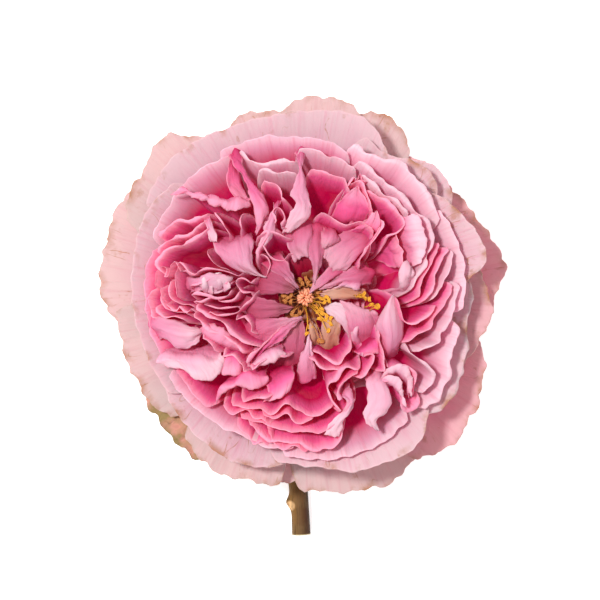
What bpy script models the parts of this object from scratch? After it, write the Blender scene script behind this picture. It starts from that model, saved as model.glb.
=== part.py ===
"""Cut garden rose, fully open, lying face up with its stem along the table.

Lengths in the tables are millimetres from the flower's own axis, with +X and +Y across the bloom
and +Z up from the table. Every petal hangs on one family of lines that rise from the receptacle
and lean out to the bloom's dome, as water does in a fountain: lines never cross, so neither do
petals whose lips don't cross.
"""

import math
from dataclasses import dataclass

import bmesh
import bpy
from mathutils import Vector
from mathutils.geometry import interpolate_bezier

MM = 0.001

# Where the flower's axis stands in the part's frame, whose origin is near the footprint's middle.
AXIS_X = 0.74
AXIS_Y = 5.2

# Receptacle: the cone that the petals' claws stand on, from its inner to its outer edge.
CLAW_RADIUS_INNER = 2.0
CLAW_RADIUS_PER_SHELL = 0.125
CLAW_HEIGHT_INNER = 20.5
CLAW_DROP_PER_SHELL = 0.07
SHELL_INNER = 2.0

# The dome: for each shell (the radius where its line ends) the height of the line's end and the
# slopes, in degrees, at which it leaves the receptacle and arrives.
SHELL = (2, 8, 14, 20, 28, 34, 38, 42, 46, 50, 54)
CREST_HEIGHT = (30, 37, 41.5, 43.5, 43, 41, 38.8, 35.5, 29, 20.5, 13)
LEAVING_SLOPE = (84, 74, 64, 54, 42, 33, 28, 23, 14, 5, 0)
ARRIVING_SLOPE = (86, 80, 75, 71, 64, 55, 43, 29, 13, -4, -16)
LINE_HANDLE = 0.38

# Petals: shares are of the petal's height, or of its full thickness or width.
PETAL_THICKNESS = 0.42
CLAW_THICKNESS_SHARE = 0.35
FULL_THICKNESS_AT = 0.6
FOOT = 0.03
CLAW_WIDTH_SHARE = 0.24
FULL_WIDTH_AT = 0.78
SHOULDER_DROP = 0.10
ROWS = 5
COLUMN_SPACING = 5.5
COLUMNS_MIN = 5
COLUMNS_MAX = 10
PATH_STEPS = 13
TABLE_CLEARANCE = 0.25
RIM_TAPER = 0.8
RIM_RISE_SHARE = 0.6
RIM_RISE_MAX = 1.0
RIM_MEASURING_STEP = 0.05
LIP_SAMPLES = 61

# Stem and hip, grown as one: centre line (x, y, z) and radius, from the receptacle's top down
# through the neck, which bends over to the table, and along to the cut.
STEM_STATIONS = (
    ((0, 0, 19.9), 0.9),
    ((0, 0, 18.2), 4.4),
    ((0, 0, 16.3), 7.8),
    ((0, 0, 15.1), 7.9),
    ((0, 0, 13.6), 6.4),
    ((0, 0, 11.2), 5.7),
    ((0, -0.3, 8.6), 4.6),
    ((0, -1.4, 6.1), 3.3),
    ((-0.4, -4.0, 3.9), 2.75),
    ((-1.0, -8.0, 2.85), 2.6),
    ((-2.2, -18.0, 2.55), 2.6),
    ((-3.4, -32.0, 2.55), 2.6),
    ((-3.5, -45.0, 2.55), 2.6),
    ((-3.0, -51.0, 2.7), 2.75),
    ((-1.9, -55.0, 2.55), 2.6),
    ((-0.5, -60.6, 2.5), 2.5),
)
STEM_SIDES_RESOLUTION = 3

# Sepals: where each points, in degrees, and how far its tip reaches.
SEPALS = ((358, 46.5), (66, 41), (138, 42), (214, 41), (292, 40))
SEPAL_MIDRIB = ((7.2, 13.4), (9.5, 10.6), (14, 7.2), (22, 3.9), (32, 1.3), (41, 0.27))
SEPAL_HALF_WIDTH = 4.2
SEPAL_TIP_SHARE = 0.07
SEPAL_ARCH_START = 0.3
SEPAL_CURL = 0.35
SEPAL_THICKNESS = 0.5
SEPAL_ROWS = 8
SEPAL_COLUMNS = 4

# Styles and stamens: profiles (radius, height) turned round the axis.
STYLES_PROFILE = ((0, 32.4), (1.3, 32.2), (2.4, 31), (2.5, 29.2), (1.3, 26), (1.1, 20.6), (0, 20.4))
STAMENS_PROFILE = ((1.7, 21.0), (2.3, 25), (3.6, 28.4), (4.6, 28.8), (3.4, 25), (2.4, 20.8))
TURN_STEPS = 14


@dataclass(frozen=True)
class Petal:
    """One petal: the plan of its lip, and what makes it differ from its neighbours."""

    name: str
    lip: tuple  # points (x, y) of the crest, or (x, y, rim) where the rim's width changes
    shells: tuple = ()  # shell along the lip; empty where the lip is at its own shell's radius
    rim: float = 0.5  # width that turns over, to the right of the lip's direction


GUARD_PETALS = (
    Petal("guard_top", ((15, 44.5), (11.5, 48), (8.5, 49.4), (4, 49.8), (0.5, 50.3), (-4, 48), (-8, 45)),
          shells=(49.4, 50)),
    Petal("guard_top_right", ((26, 33), (26, 38), (24, 42.5), (20, 46), (14, 46), (10, 45)),
          shells=(52.2, 51.8)),
    Petal("guard_right_upper", ((37, 23), (36.8, 27.5), (34, 30.5), (30, 34), (25, 35.8), (21, 36)),
          shells=(53.6, 53.8)),
    Petal("guard_right", ((43.5, -10), (47, -4), (48, 1), (49.8, 5), (50.3, 8.5), (47, 14.5), (43, 20),
                          (40, 24), (35.5, 28)), shells=(51.8, 51.4)),
    Petal("guard_right_inner", ((38.5, -18), (41.5, -14), (44.3, -9), (46.5, -4), (45.5, 1),
                                (43.5, 6.5), (40.5, 9)), shells=(47.6, 48.6)),
    Petal("guard_right_lower", ((28, -41), (34, -38.5), (38.5, -35.5), (40.5, -31), (43.2, -28),
                                (43.8, -23), (45, -17), (43.5, -11), (42, -6)), shells=(50, 49.8)),
    Petal("guard_bottom_right", ((-4, -41.5), (-1.2, -48.2), (4, -48.6), (10, -49), (16, -48),
                                 (21.5, -47), (25, -43.5), (30, -38)), shells=(51.6, 52)),
    Petal("guard_bottom_left", ((-30, -35), (-26, -40.5), (-21, -44), (-14, -45.6), (-6.8, -46.6),
                                (-4.6, -41)), shells=(48.6, 49)),
    Petal("guard_left_wilted", ((-40, -21), (-39, -27), (-36, -31), (-32.5, -35.5), (-28, -39.8),
                                (-23, -41)), shells=(52, 52), rim=1.4),
    Petal("guard_left_lower", ((-47.5, -4), (-45.8, -11), (-44.5, -16), (-42, -21), (-38.5, -26.5),
                               (-34, -30)), shells=(49.8, 50)),
    Petal("guard_left", ((-42, 28.5), (-47.6, 22), (-50, 13.5), (-51.6, 5), (-50.3, -2), (-46, -8)),
          shells=(51.6, 52)),
    Petal("guard_left_upper", ((-21, 41), (-29, 40), (-34, 40.8), (-38.5, 36), (-40, 32), (-44, 26),
                               (-45, 20)), shells=(49.4, 49.6)),
    Petal("guard_top_left", ((-2, 46.5), (-8, 46.7), (-16, 45.8), (-19, 42.5), (-25, 39)),
          shells=(51.6, 52)),
)

SPREADING_PETALS = (
    Petal("spreading_top", ((21, 33), (20, 37), (15, 44), (9, 45.8), (0, 46), (-8, 45), (-17, 42.5),
                            (-26, 39), (-33, 34), (-37, 29), (-39.6, 24)),
          shells=(45, 46.4, 46.6, 46, 46)),
    Petal("spreading_upper_right", ((30, 21), (32.3, 24.5), (32.3, 27.5), (30.5, 31), (26.5, 33.4),
                                    (20.5, 35), (15, 39.5)), shells=(43.6, 44.4)),
    Petal("spreading_right_behind", ((34.5, 19), (36.3, 23.5), (36, 27), (33.5, 31), (30, 33.3),
                                     (26, 34)), shells=(46.6, 46.4)),
    Petal("spreading_right", ((40, 4), (44.2, 8.8), (43.3, 13), (39, 19.5), (34, 24), (27.5, 27.3)),
          shells=(42.2, 42, 42)),
    Petal("spreading_right_lower", ((30.5, -28.7), (35, -26), (37, -21), (39.3, -15), (39.2, -9),
                                    (40.3, -2), (40.5, 4), (39, 9)), shells=(43, 44), rim=0.8),
    Petal("spreading_bottom", ((-7, -40.5), (2, -41.5), (12, -42.5), (20, -40.2), (26, -37.5),
                               (28.8, -33.5), (30.6, -27)), shells=(42, 41.6)),
    Petal("spreading_left_lower", ((-35.5, -20), (-32, -28), (-26, -34.5), (-19, -39.8), (-11, -41.8),
                                   (-1, -40.5)), shells=(43.4, 44.4)),
    Petal("spreading_left", ((-33, 28), (-38.5, 21.5), (-41.5, 13), (-42.5, 4), (-41.5, -6),
                             (-38.5, -15), (-34, -23.5)), shells=(43.4, 42.6)),
)

COLLAR_PETALS = (
    Petal("collar_top", ((10.5, 35.6), (4, 38.3), (-3, 39), (-10, 39), (-17, 37.3), (-21, 35.8))),
    Petal("collar_upper_right", ((33, 19), (30.5, 23), (27.8, 27), (24.5, 31), (20, 33), (14, 35),
                                 (11.5, 36.8)), rim=1.2),
    Petal("collar_right", ((38.8, -3), (39, 4), (38.3, 10), (36.6, 15), (35, 18), (33, 21.3))),
    Petal("collar_right_lower", ((29, -27.2), (32.7, -24), (34.7, -19), (35, -15), (36.6, -10.5),
                                 (37.2, -7)), rim=0.8),
    Petal("collar_bottom", ((-5, -39.2), (1, -39.5), (8, -39.4), (15, -37.4), (21, -34), (25.5, -30.5))),
    Petal("collar_left_lower", ((-33.5, -19.5), (-29.5, -24.5), (-23, -29.8), (-15, -34), (-8, -36.8),
                                (-3, -37.4))),
    Petal("collar_left", ((-37.5, 11.5), (-39, 5), (-38.7, -3), (-37.3, -9), (-34.7, -15.5))),
    Petal("collar_left_upper", ((-18, 35), (-25, 31.5), (-30, 27), (-35, 19.5), (-37.5, 14.5))),
)

INNER_PETALS = (
    Petal("top_lip", ((-2.6, 33.2), (-5, 32.8), (-9, 31.8), (-13, 32.9), (-16, 35)), rim=0.9),
    Petal("top_strip", ((-15.2, 33.2, 1.0), (-12, 29, 2.4), (-9.6, 24.8, 2.6), (-8.8, 21.5, 2.2),
                        (-10.4, 18.2, 1.2), (-11.8, 15.5, 0.8))),
    Petal("white_fold", ((-0.8, 33, 0.8), (-0.2, 28, 1.8), (0.6, 24, 2.6), (1.2, 20.5, 1.6))),
    Petal("hollow_back", ((12, 31.4), (9, 33), (6, 34.3), (2, 35.8), (-1, 36.2))),
    Petal("tile_outer", ((26.3, 2.6), (27, 5), (29, 9), (30.5, 12.5), (29.8, 16.5), (27.3, 20.2),
                         (23, 24.2), (19, 28), (15.5, 31), (13, 32.8)), rim=1.0),
    Petal("tile_inner", ((19.6, 15), (22, 15.6), (24, 18), (21.6, 20.9), (18.4, 23.6), (15.7, 26)),
          rim=0.8),
    Petal("hollow_lip", ((16.2, 16.3), (13.5, 18.3), (10, 17.4), (7, 18.5), (4.4, 20.8))),
    Petal("right_sheet_outer", ((31.2, 0), (34, 4), (35.4, 8), (35.9, 11))),
    Petal("right_sheet_inner", ((27.9, 0.6), (28.4, 4), (30.9, 9), (33.2, 13))),
    Petal("right_fold", ((25.6, -10.6), (27.2, -9.2), (30, -7.4), (31.6, -4.8), (34, -1.5),
                         (35.9, 3))),
    Petal("fold_outer", ((28.8, -23.2), (30.8, -21), (30.6, -18.4), (27.7, -15.4), (25.3, -13.4)),
          rim=0.9),
    Petal("white_flap", ((20.5, -32, 0.6), (18.6, -32, 1), (16.4, -31, 2), (14.6, -28.6, 3.2),
                         (15.2, -25, 3.4), (15.1, -21.4, 2))),
    Petal("lilac_back", ((24.6, -11.4, -2), (23.9, -7, -5), (21.8, -2.5, -4.5), (20.4, 0.6, -1.5))),
    Petal("zigzag", ((-17.8, -26.6), (-12, -27), (-8, -28.4), (-4.5, -25.6), (-2, -27.5), (2, -28.8),
                     (6.5, -27))),
    Petal("bottom_strip", ((-15.5, -29.4), (-9, -31.2), (-4, -32.4), (0.5, -33), (4.5, -32.6, -0.8),
                           (9, -29.2, -2), (11.6, -26, -2))),
    Petal("flap_left", ((-35.2, -4.7, 1.6), (-32, -5.3, 3.6), (-28.5, -6, 4), (-26, -6.6, 3))),
    Petal("flap_lower", ((-33, -15, 1.5), (-30, -14.9, 3), (-26, -15.1, 4), (-22.8, -15.8, 3.6),
                         (-20.4, -14.4, 2))),
    Petal("pocket_rim", ((-21.8, -26), (-21, -22.8), (-18.5, -21), (-14.6, -19.3), (-11.8, -19.9),
                         (-9.5, -19.6)), rim=1.0),
    Petal("lower_left_sheet", ((-31.3, -18.2), (-29, -21.2), (-26, -24.6), (-23.6, -27))),
    Petal("ridge", ((-13.2, 22.7), (-18, 21.4), (-22, 22.7), (-26, 24.4), (-30, 25)), rim=1.3),
    Petal("left_lip", ((-24.2, 20.2), (-27.6, 17.9), (-31, 18.3), (-34, 16.4), (-35.5, 15.2)), rim=0.9),
    Petal("wave_strip", ((-26.3, -2.6), (-22, -4.8), (-18.6, -7.3), (-14.6, -10.5), (-11.4, -12)),
          rim=0.9),
    Petal("flap_upper", ((-22, 12.8, 1.5), (-19, 12.4, 3), (-15.4, 13.6, 5), (-13, 12.6, 4.6))),
)

PETALS = GUARD_PETALS + SPREADING_PETALS + COLLAR_PETALS + INNER_PETALS

PETAL_COLOURS = (
    (GUARD_PETALS, (0.86, 0.66, 0.66)),
    (SPREADING_PETALS, (0.85, 0.56, 0.62)),
    (COLLAR_PETALS, (0.82, 0.42, 0.54)),
    (INNER_PETALS, (0.76, 0.25, 0.40)),
)
STEM_COLOUR = (0.20, 0.13, 0.07)
SEPAL_COLOUR = (0.23, 0.25, 0.11)
STYLES_COLOUR = (0.73, 0.33, 0.20)
STAMENS_COLOUR = (0.70, 0.38, 0.06)


def clear_scene():
    """Remove every object, so that a second run starts empty."""
    for obj in list(bpy.data.objects):
        bpy.data.objects.remove(obj)


def plain_material(name, colour, roughness):
    """A Principled material of one colour."""
    material = bpy.data.materials.new(name)
    material.use_nodes = True
    shader = material.node_tree.nodes["Principled BSDF"]
    shader.inputs["Base Color"].default_value = (*colour, 1)
    shader.inputs["Roughness"].default_value = roughness
    shader.inputs["Metallic"].default_value = 0
    return material


def smooth_table(x, xs, ys):
    """Read a table of points as one smooth curve (cubic Hermite, slopes from the neighbours)."""
    last = len(xs) - 1
    i = 0
    while i < last - 1 and x > xs[i + 1]:
        i += 1

    def slope(k):
        before, after = max(k - 1, 0), min(k + 1, last)
        return (ys[after] - ys[before]) / (xs[after] - xs[before])

    span = xs[i + 1] - xs[i]
    s = (x - xs[i]) / span
    rising = 3 * s**2 - 2 * s**3
    return (
        ys[i] * (1 - rising)
        + ys[i + 1] * rising
        + span * slope(i) * (s**3 - 2 * s**2 + s)
        + span * slope(i + 1) * (s**3 - s**2)
    )


def line_point(shell, t):
    """Radius and height on a shell's line, from the claw (t = 0) to the dome (t = 1) and past it."""
    claw = Vector((
        CLAW_RADIUS_INNER + (shell - SHELL_INNER) * CLAW_RADIUS_PER_SHELL,
        CLAW_HEIGHT_INNER - (shell - SHELL_INNER) * CLAW_DROP_PER_SHELL,
    ))
    crest = Vector((shell, smooth_table(shell, SHELL, CREST_HEIGHT)))
    leaving = math.radians(smooth_table(shell, SHELL, LEAVING_SLOPE))
    arriving = math.radians(smooth_table(shell, SHELL, ARRIVING_SLOPE))
    span = (crest - claw).length
    heading = Vector((math.cos(arriving), math.sin(arriving)))
    if t > 1:
        return crest + heading * span * (t - 1)
    lower = claw + Vector((math.cos(leaving), math.sin(leaving))) * LINE_HANDLE * span
    upper = crest - heading * LINE_HANDLE * span
    rest = 1 - t
    return rest**3 * claw + 3 * rest**2 * t * lower + 3 * rest * t**2 * upper + t**3 * crest


def line_parameter(shell, radius):
    """The t at which a shell's line reaches a radius (bisection)."""
    low, high = 0.2, 1.6
    for _ in range(24):
        middle = (low + high) / 2
        if line_point(shell, middle).x < radius:
            low = middle
        else:
            high = middle
    return (low + high) / 2


def smooth_path(points):
    """A smooth curve through the points, leaving each along the chord of its neighbours."""
    knots = [Vector(point) for point in points]
    path = []
    for i in range(len(knots) - 1):
        start, end = knots[i], knots[i + 1]
        before, after = knots[max(i - 1, 0)], knots[min(i + 2, len(knots) - 1)]
        reach = (end - start).length / 3
        leave = start + (end - before).normalized() * reach
        arrive = end - (after - start).normalized() * reach
        path += interpolate_bezier(start, leave, arrive, end, PATH_STEPS)[:-1]
    return path + [knots[-1]]


def spaced(path, count):
    """Points equally spaced along a path, and the path's length."""
    travelled = [0.0]
    for start, end in zip(path, path[1:]):
        travelled.append(travelled[-1] + (end - start).xy.length)
    points = []
    at = 0
    for step in range(count):
        target = travelled[-1] * step / (count - 1)
        while at < len(path) - 2 and travelled[at + 1] < target:
            at += 1
        share = (target - travelled[at]) / (travelled[at + 1] - travelled[at])
        points.append(path[at].lerp(path[at + 1], share))
    return points, travelled[-1]


class LipCurve:
    """A petal's lip, ready to be read at any place u from -1 to 1 along it."""

    def __init__(self, petal):
        path = smooth_path([(*point[:2], (*point, petal.rim)[2]) for point in petal.lip])
        points, self.length = spaced(path, LIP_SAMPLES)
        self.rows = []
        angle = math.atan2(points[0].y, points[0].x)
        for i, (x, y, rim) in enumerate(points):
            radius = math.hypot(x, y)
            turn = math.atan2(y, x) - angle
            angle += (turn + math.pi) % (2 * math.pi) - math.pi
            shell = radius
            if petal.shells:
                shell = smooth_table(i / (LIP_SAMPLES - 1), *self.shell_table(petal.shells))
            self.rows.append((shell, angle, line_parameter(shell, radius), rim))

    @staticmethod
    def shell_table(shells):
        """The shells given for a petal, spread evenly from one end of its lip to the other."""
        return [k / (len(shells) - 1) for k in range(len(shells))], shells

    def at(self, u):
        """Shell, angle, line parameter and rim width at u."""
        place = (u + 1) / 2 * (LIP_SAMPLES - 1)
        i = min(int(place), LIP_SAMPLES - 2)
        share = place - i
        return [a + (b - a) * share for a, b in zip(self.rows[i], self.rows[i + 1])]


def petal_point(lip, across, up):
    """A point of the petal's middle surface: across from -1 to 1, up from claw (0) to crest (1)."""
    spread = math.sin(math.pi / 2 * min(1, up / FULL_WIDTH_AT))
    u = across * (CLAW_WIDTH_SHARE + (1 - CLAW_WIDTH_SHARE) * spread)
    shell, angle, top, _ = lip.at(u)
    top *= 1 - SHOULDER_DROP * abs(u) ** 6
    r, z = line_point(shell, FOOT + (top - FOOT) * up)
    return Vector((r * math.cos(angle), r * math.sin(angle), max(z, TABLE_CLEARANCE)))


def rim_point(lip, across):
    """The edge of the rim, turned over to the right of the lip's direction."""
    step = RIM_MEASURING_STEP
    crest = petal_point(lip, across, 1)
    rise = (crest - petal_point(lip, across, 1 - step)).normalized()
    ahead = petal_point(lip, min(across + step, 1), 1) - petal_point(lip, max(across - step, -1), 1)
    side = ahead.cross(rise).normalized()
    width = lip.at(across)[3] * (1 - RIM_TAPER * across**4)
    point = crest + rise * min(RIM_RISE_SHARE * abs(width), RIM_RISE_MAX) + side * width
    return Vector((point.x, point.y, max(point.z, TABLE_CLEARANCE)))


def grid_mesh(name, rows, columns, place, thickness_share):
    """A grid sheet whose vertices are moved to place(across, up); a group holds its thickness."""
    sheet = bmesh.new()
    bmesh.ops.create_grid(sheet, x_segments=columns, y_segments=rows, size=1)
    layer = sheet.verts.layers.deform.verify()
    for vertex in sheet.verts:
        across, up = vertex.co.x, (vertex.co.y + 1) / 2
        vertex[layer][0] = thickness_share(up)
        vertex.co = place(across, up) * MM
    mesh = bpy.data.meshes.new(name)
    sheet.to_mesh(mesh)
    sheet.free()
    mesh.shade_smooth()
    return mesh


def link(name, data, material, axis):
    """Put data in the scene under its own name and material, standing on the flower's axis."""
    obj = bpy.data.objects.new(name, data)
    bpy.context.collection.objects.link(obj)
    obj.data.materials.append(material)
    obj.parent = axis
    return obj


def thicken(obj, thickness):
    """Give a sheet its thickness, thinner where its vertex group says so."""
    obj.vertex_groups.new(name="thickness")
    solid = obj.modifiers.new("thickness", "SOLIDIFY")
    solid.thickness = thickness * MM
    solid.offset = 0
    solid.vertex_group = "thickness"
    return obj


def make_petal(petal, material, axis):
    """One petal: a sheet from its claw to its crest, with a rim row beyond the crest."""
    lip = LipCurve(petal)
    columns = min(max(round(lip.length / COLUMN_SPACING), COLUMNS_MIN), COLUMNS_MAX)
    crest = (ROWS - 1) / ROWS

    def place(across, up):
        if up > crest + 0.01:
            return rim_point(lip, across)
        return petal_point(lip, across, up / crest)

    def share(up):
        return CLAW_THICKNESS_SHARE + (1 - CLAW_THICKNESS_SHARE) * min(1, up / FULL_THICKNESS_AT)

    mesh = grid_mesh(petal.name, ROWS, columns, place, share)
    return thicken(link(petal.name, mesh, material, axis), PETAL_THICKNESS)


def sepal_half_width(up):
    """Half a sepal's width: an arch that its base joins part of the way up and its tip ends."""
    arch = max(math.sin(math.pi * (SEPAL_ARCH_START + (1 - SEPAL_ARCH_START) * up)), 0)
    return SEPAL_HALF_WIDTH * (SEPAL_TIP_SHARE + (1 - SEPAL_TIP_SHARE) * arch)


def make_sepal(number, direction, reach, material, axis):
    """One sepal: a narrow blade that reflexes from the hip's rim down to the table."""
    radii = [r for r, _ in SEPAL_MIDRIB]
    heights = [z for _, z in SEPAL_MIDRIB]
    stretch = (reach - radii[0]) / (radii[-1] - radii[0])
    turn = math.radians(direction)

    def place(across, up):
        midrib = radii[0] + (radii[-1] - radii[0]) * up
        height = smooth_table(midrib, radii, heights)
        r = radii[0] + (midrib - radii[0]) * stretch
        side = across * sepal_half_width(up)
        z = max(height - SEPAL_CURL * across**2 * (1 - up), SEPAL_THICKNESS / 2)
        return Vector((r * math.cos(turn) - side * math.sin(turn),
                       r * math.sin(turn) + side * math.cos(turn), z))

    name = f"sepal_{number}"
    mesh = grid_mesh(name, SEPAL_ROWS, SEPAL_COLUMNS, place, lambda up: 1.0)
    return thicken(link(name, mesh, material, axis), SEPAL_THICKNESS)


def make_stem(material, axis):
    """Stem, neck and hip as one tube of changing radius, closed at the cut and at the top."""
    curve = bpy.data.curves.new("stem", "CURVE")
    curve.dimensions = "3D"
    curve.bevel_depth = MM
    curve.bevel_resolution = STEM_SIDES_RESOLUTION
    curve.use_fill_caps = True
    spline = curve.splines.new("POLY")
    spline.points.add(len(STEM_STATIONS) - 1)
    for point, (centre, radius) in zip(spline.points, STEM_STATIONS):
        point.co = (*(c * MM for c in centre), 1)
        point.radius = radius
    return link("stem", curve, material, axis)


def make_turned(name, profile, closed, material, axis):
    """A profile (radius, height) turned round the flower's axis."""
    mesh = bpy.data.meshes.new(name)
    edges = [(i, i + 1) for i in range(len(profile) - 1)]
    if closed:
        edges.append((len(profile) - 1, 0))
    mesh.from_pydata([(r * MM, 0, z * MM) for r, z in profile], edges, [])
    obj = link(name, mesh, material, axis)
    turn = obj.modifiers.new("turn", "SCREW")
    turn.steps = TURN_STEPS
    turn.render_steps = TURN_STEPS
    turn.use_merge_vertices = True
    turn.merge_threshold = 1e-5
    return obj


def main():
    """Build the flower's pieces, from the stem to the innermost petals."""
    clear_scene()
    axis = bpy.data.objects.new("flower_axis", None)
    bpy.context.collection.objects.link(axis)
    axis.location = (AXIS_X * MM, AXIS_Y * MM, 0)

    make_stem(plain_material("stem_bark", STEM_COLOUR, 0.7), axis)
    sepal_green = plain_material("sepal_green", SEPAL_COLOUR, 0.65)
    for number, (direction, reach) in enumerate(SEPALS, start=1):
        make_sepal(number, direction, reach, sepal_green, axis)
    make_turned("styles", STYLES_PROFILE, False, plain_material("styles", STYLES_COLOUR, 0.55), axis)
    make_turned("stamens", STAMENS_PROFILE, True, plain_material("anthers", STAMENS_COLOUR, 0.6), axis)
    for petals, colour in PETAL_COLOURS:
        for petal in petals:
            make_petal(petal, plain_material(petal.name, colour, 0.6), axis)


main()
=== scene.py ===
"""Cut garden rose, fully open, lying face up with its stem along the table: its visible pieces.

Lengths in the tables are millimetres from the flower's own axis, with +X and +Y across the bloom
and +Z up from the table. Every petal hangs on one family of lines that rise from the receptacle
and lean out to the bloom's dome, as water does in a fountain.
"""

from __future__ import annotations

import logging
import math
from dataclasses import dataclass, field, replace
from enum import Enum

import bpy
import numpy as np
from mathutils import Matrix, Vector

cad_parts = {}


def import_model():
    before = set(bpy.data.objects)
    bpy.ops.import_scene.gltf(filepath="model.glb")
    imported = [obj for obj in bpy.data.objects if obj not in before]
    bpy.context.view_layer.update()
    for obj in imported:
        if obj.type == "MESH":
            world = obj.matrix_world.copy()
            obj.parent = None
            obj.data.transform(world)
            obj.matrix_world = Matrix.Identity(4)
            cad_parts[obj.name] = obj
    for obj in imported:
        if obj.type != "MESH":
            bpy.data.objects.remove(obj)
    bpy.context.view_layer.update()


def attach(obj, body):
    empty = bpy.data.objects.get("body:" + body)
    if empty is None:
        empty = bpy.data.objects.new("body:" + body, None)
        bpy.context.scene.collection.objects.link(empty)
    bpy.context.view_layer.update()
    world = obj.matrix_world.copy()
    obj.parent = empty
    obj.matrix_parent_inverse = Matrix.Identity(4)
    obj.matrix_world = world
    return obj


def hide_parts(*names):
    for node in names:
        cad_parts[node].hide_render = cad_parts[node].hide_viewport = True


LOG = logging.getLogger("rose")

MM = 0.001
BODY = "root"

# Where the flower's axis stands in the part's own frame.
AXIS = np.array((0.74, 5.2, 0.0))

Points = tuple[tuple[float, ...], ...]
Span = tuple[float, float]
Tree = bpy.types.NodeTree
Socket = bpy.types.NodeSocket


def linear(hex_colour: str) -> tuple[float, float, float, float]:
    """Turn an sRGB hex colour into linear red, green, blue and alpha.

    Args:
        hex_colour: six hex digits after a hash sign.

    Returns:
        The linear colour, with alpha 1.
    """
    channels = [int(hex_colour[i:i + 2], 16) / 255 for i in (1, 3, 5)]
    straight = [c / 12.92 if c <= 0.04045 else ((c + 0.055) / 1.055) ** 2.4 for c in channels]
    return (*straight, 1.0)


def add_node(tree: Tree, kind: str, inputs: dict | None = None,
             stops: tuple = (), **settings: object) -> bpy.types.Node:
    """Add a node with its settings and links.

    Args:
        tree: the node tree that the node joins.
        kind: the node's type, without the leading "ShaderNode".
        inputs: for each input's name or number, a value, a socket to link from, or a node whose
            first output that is in use is linked.
        stops: (position, colour) pairs for a colour ramp.
        settings: the node's own properties.

    Returns:
        The new node.
    """
    node = tree.nodes.new("ShaderNode" + kind)
    for name, value in settings.items():
        setattr(node, name, value)
    for key, value in (inputs or {}).items():
        if isinstance(value, bpy.types.Node):
            value = next(socket for socket in value.outputs if socket.enabled)
        if isinstance(value, Socket):
            tree.links.new(value, node.inputs[key])
        else:
            node.inputs[key].default_value = value
    if stops:
        elements = node.color_ramp.elements
        while len(elements) < len(stops):
            elements.new(0.5)
        for element, (position, colour) in zip(elements, stops):
            element.position = position
            element.color = colour
    return node


@dataclass(frozen=True)
class Finish:
    """What a surface is made of, as the eye sees it."""

    name: str

    def surface(self, tree: Tree) -> bpy.types.Node:
        """Build the shader; each finish has its own."""
        raise NotImplementedError

    def make(self) -> bpy.types.Material:
        """Build the material.

        Returns:
            The material.
        """
        material = bpy.data.materials.new(self.name)
        material.use_nodes = True
        material.node_tree.nodes.clear()
        surface = self.surface(material.node_tree)
        add_node(material.node_tree, "OutputMaterial", {"Surface": surface})
        return material


# Numbers of the colour inputs of a Mix node, whose names aren't unique.
MIX_A = 6
MIX_B = 7

# The layer that holds a vertex's place on its flattened petal: across and up, in millimetres.
PLACE_LAYER = "petal_mm"


class Layer(Enum):
    """Numbers that a mesh carries for its material, one for each vertex."""

    RISE = "rise"  # 0 at the claw, 1 at the crest of the lip
    EDGE = "edge_mm"  # millimetres from the free edge
    OUTER = "outer_face"  # 1 on the face turned away from the flower's axis
    SEED = "petal_seed"  # one number for the whole petal


class Pattern(Enum):
    """A petal's noise patterns: what sets each one's seeds apart, and its settings."""

    MOTTLE = (40.0, {"Detail": 3.0})
    VEINS = (70.0, {"Detail": 2.0, "Distortion": 0.3})
    CRUMPLE = (55.0, {"Detail": 3.0, "Distortion": 0.8})
    BRUISES = (90.0, {"Detail": 5.0, "Roughness": 0.6})
    CREASES = (33.0, {"Detail": 1.0})


def petal_noise(tree: Tree, pattern: Pattern, grain_mm: Span) -> bpy.types.Node:
    """Lay a noise pattern over a flattened petal, different on each petal.

    Args:
        tree: the material's node tree.
        pattern: which pattern to lay.
        grain_mm: the size of its grain, across and up the petal.

    Returns:
        The node of the pattern's value, which has its middle at 0.5.
    """
    seed_step, settings = pattern.value
    place = add_node(tree, "Attribute", attribute_name=PLACE_LAYER).outputs["Vector"]
    seed = add_node(tree, "Attribute", attribute_name=Layer.SEED.value).outputs["Fac"]
    scaled = add_node(tree, "VectorMath", {
        0: place, 1: (1 / grain_mm[0], 1 / grain_mm[1], 1.0)}, operation="MULTIPLY")
    own = add_node(tree, "Math", {0: seed, 1: seed_step}, operation="MULTIPLY")
    return add_node(tree, "TexNoise", {"Vector": scaled, "W": own, "Scale": 1.0, **settings},
                    noise_dimensions="4D")


def fold_lines(tree: Tree, pattern: Pattern, grain_mm: Span) -> bpy.types.Node:
    """Draw lines where a noise pattern passes through its middle value.

    Args:
        tree: the material's node tree.
        pattern: which pattern to follow.
        grain_mm: the size of its grain, across and up the petal.

    Returns:
        The node of a value that is 0 on a line and more on both sides of it.
    """
    noise = petal_noise(tree, pattern, grain_mm)
    centred = add_node(tree, "Math", {0: noise, 1: 0.5}, operation="SUBTRACT")
    return add_node(tree, "Math", {0: centred}, operation="ABSOLUTE")


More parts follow.
